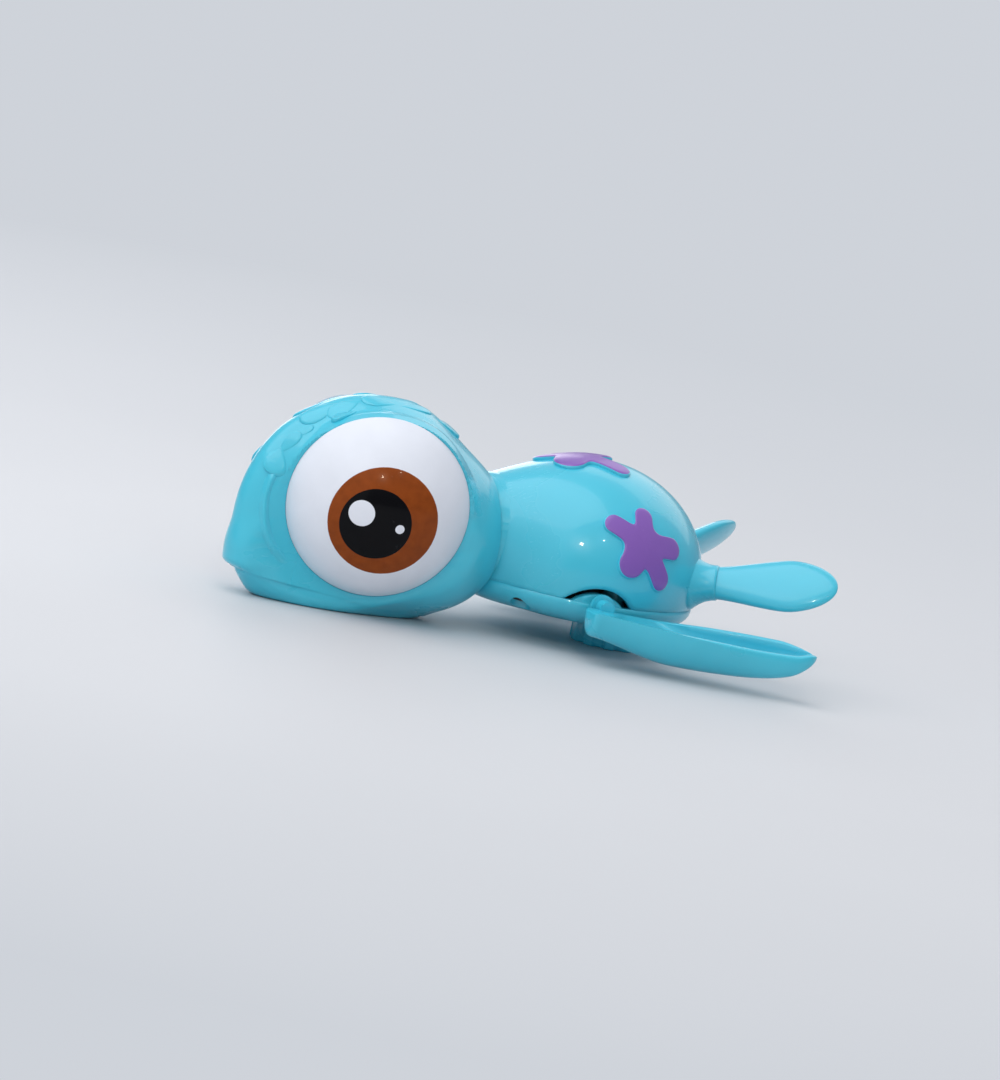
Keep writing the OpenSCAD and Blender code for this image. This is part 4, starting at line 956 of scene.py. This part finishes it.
backdrop = (0.62, 0.65, 0.7, 1)
floor_mesh = bpy.data.meshes.new("floor")
ring = np.linspace(0, 2 * np.pi, 96, endpoint=False)
floor_mesh.from_pydata([(3 * math.cos(t), 3 * math.sin(t), 0) for t in ring], [], [tuple(range(96))])
floor = bpy.data.objects.new("floor", floor_mesh)
bpy.context.scene.collection.objects.link(floor)
floor_finish = bpy.data.materials.new("pale_floor")
floor_finish.use_nodes = True
tree = floor_finish.node_tree
spot = put(tree, "ShaderNodeTexCoord").outputs["Object"]
grain = put(tree, "ShaderNodeTexNoise", {"Vector": spot, "Scale": 6, "Detail": 2})
tone = put(tree, "ShaderNodeValToRGB", {"Fac": grain.outputs["Fac"]})
tone.color_ramp.elements[0].color = (0.6, 0.61, 0.63, 1)
tone.color_ramp.elements[1].color = (0.65, 0.66, 0.68, 1)
matt = tree.nodes["Principled BSDF"]
tree.links.new(tone.outputs["Color"], matt.inputs["Base Color"])
matt.inputs["Roughness"].default_value = 0.6
away = put(tree, "ShaderNodeVectorMath", {0: spot}, operation="LENGTH")
far = sums(tree, "MULTIPLY", spread(tree, away.outputs["Value"], 0.12, 0.5, 0, 1),
           put(tree, "ShaderNodeLightPath").outputs["Is Camera Ray"])
haze = put(tree, "ShaderNodeEmission", {"Color": backdrop, "Strength": 1.0})
blend = put(tree, "ShaderNodeMixShader", {0: far, 1: matt.outputs[0], 2: haze.outputs[0]})
tree.links.new(blend.outputs[0], tree.nodes["Material Output"].inputs["Surface"])
floor_mesh.materials.append(floor_finish)

world = bpy.data.worlds.new("studio")
bpy.context.scene.world = world
world.use_nodes = True
tree = world.node_tree
path = put(tree, "ShaderNodeLightPath")
seen = sums(tree, "MAXIMUM", path.outputs["Is Camera Ray"], path.outputs["Is Transmission Ray"])
sky = tree.nodes["Background"]
sky.inputs["Color"].default_value = (0.85, 0.9, 1, 1)
lift = put(tree, "ShaderNodeSeparateXYZ", {0: put(tree, "ShaderNodeTexCoord").outputs["Generated"]})
tree.links.new(spread(tree, lift.outputs["Z"], -0.1, 0.9, 0.22, 0.72), sky.inputs["Strength"])
wall = put(tree, "ShaderNodeBackground", {"Color": backdrop, "Strength": 1.0})
both = put(tree, "ShaderNodeMixShader", {0: seen, 1: sky.outputs[0], 2: wall.outputs[0]})
tree.links.new(both.outputs[0], tree.nodes["World Output"].inputs["Surface"])


def lamp(name, place, aim, size, watts, colour):
    """A soft rectangular lamp that points at a place."""
    light = bpy.data.lights.new(name, "AREA")
    light.shape, light.size, light.size_y = "RECTANGLE", *size
    light.energy, light.color = watts, colour
    holder = bpy.data.objects.new(name, light)
    holder.location = place
    holder.rotation_euler = (Vector(aim) - Vector(place)).to_track_quat("-Z", "Y").to_euler()
    bpy.context.scene.collection.objects.link(holder)


middle = (0.0274, 0, 0.018)
lamp("top_lamp", (0.42, 0.08, 0.85), middle, (1.1, 1.1), 5.2, (1, 0.99, 0.97))
lamp("front_lamp", (1.0, 0.45, 0.4), middle, (1.5, 1.2), 2.4, (0.95, 0.98, 1))
lamp("rim_lamp", (-0.08, -0.97, 0.25), middle, (0.5, 0.5), 1.6, (1, 0.99, 1))
lamp("back_lamp", (-0.6, -0.5, 0.6), middle, (0.8, 0.8), 1.7, (1, 0.97, 0.92))
lamp("glint_lamp", (0.322, 0.828, 0.516), middle, (0.04, 0.04), 0.8, (1, 0.85, 0.65))
lamp("second_glint_lamp", (-0.02, 0.8, 0.62), middle, (0.02, 0.02), 0.2, (1, 0.9, 0.75))

azimuth, elevation, roll = np.radians((66, 8, 11.85))
photo_middle, photo_distance = 0.001 * np.array([27.37, 0, 17.92]), 3
view = toward(azimuth, elevation)
level = np.array([-math.sin(azimuth), math.cos(azimuth), 0])
rise = np.cross(view, level)
right = math.cos(roll) * level + math.sin(roll) * rise
upward = math.cos(roll) * rise - math.sin(roll) * level
place = photo_middle + photo_distance * view
lens = bpy.data.cameras.new("photo_camera")
lens.sensor_fit, lens.sensor_width, lens.lens = "HORIZONTAL", 36, 540
lens.clip_start = 0.01
camera = bpy.data.objects.new("photo_camera", lens)
camera.matrix_world = Matrix([[right[k], upward[k], view[k], place[k]] for k in range(3)] + [[0, 0, 0, 1]])
bpy.context.scene.collection.objects.link(camera)
bpy.context.scene.camera = camera
bpy.context.scene.view_settings.view_transform = "Standard"
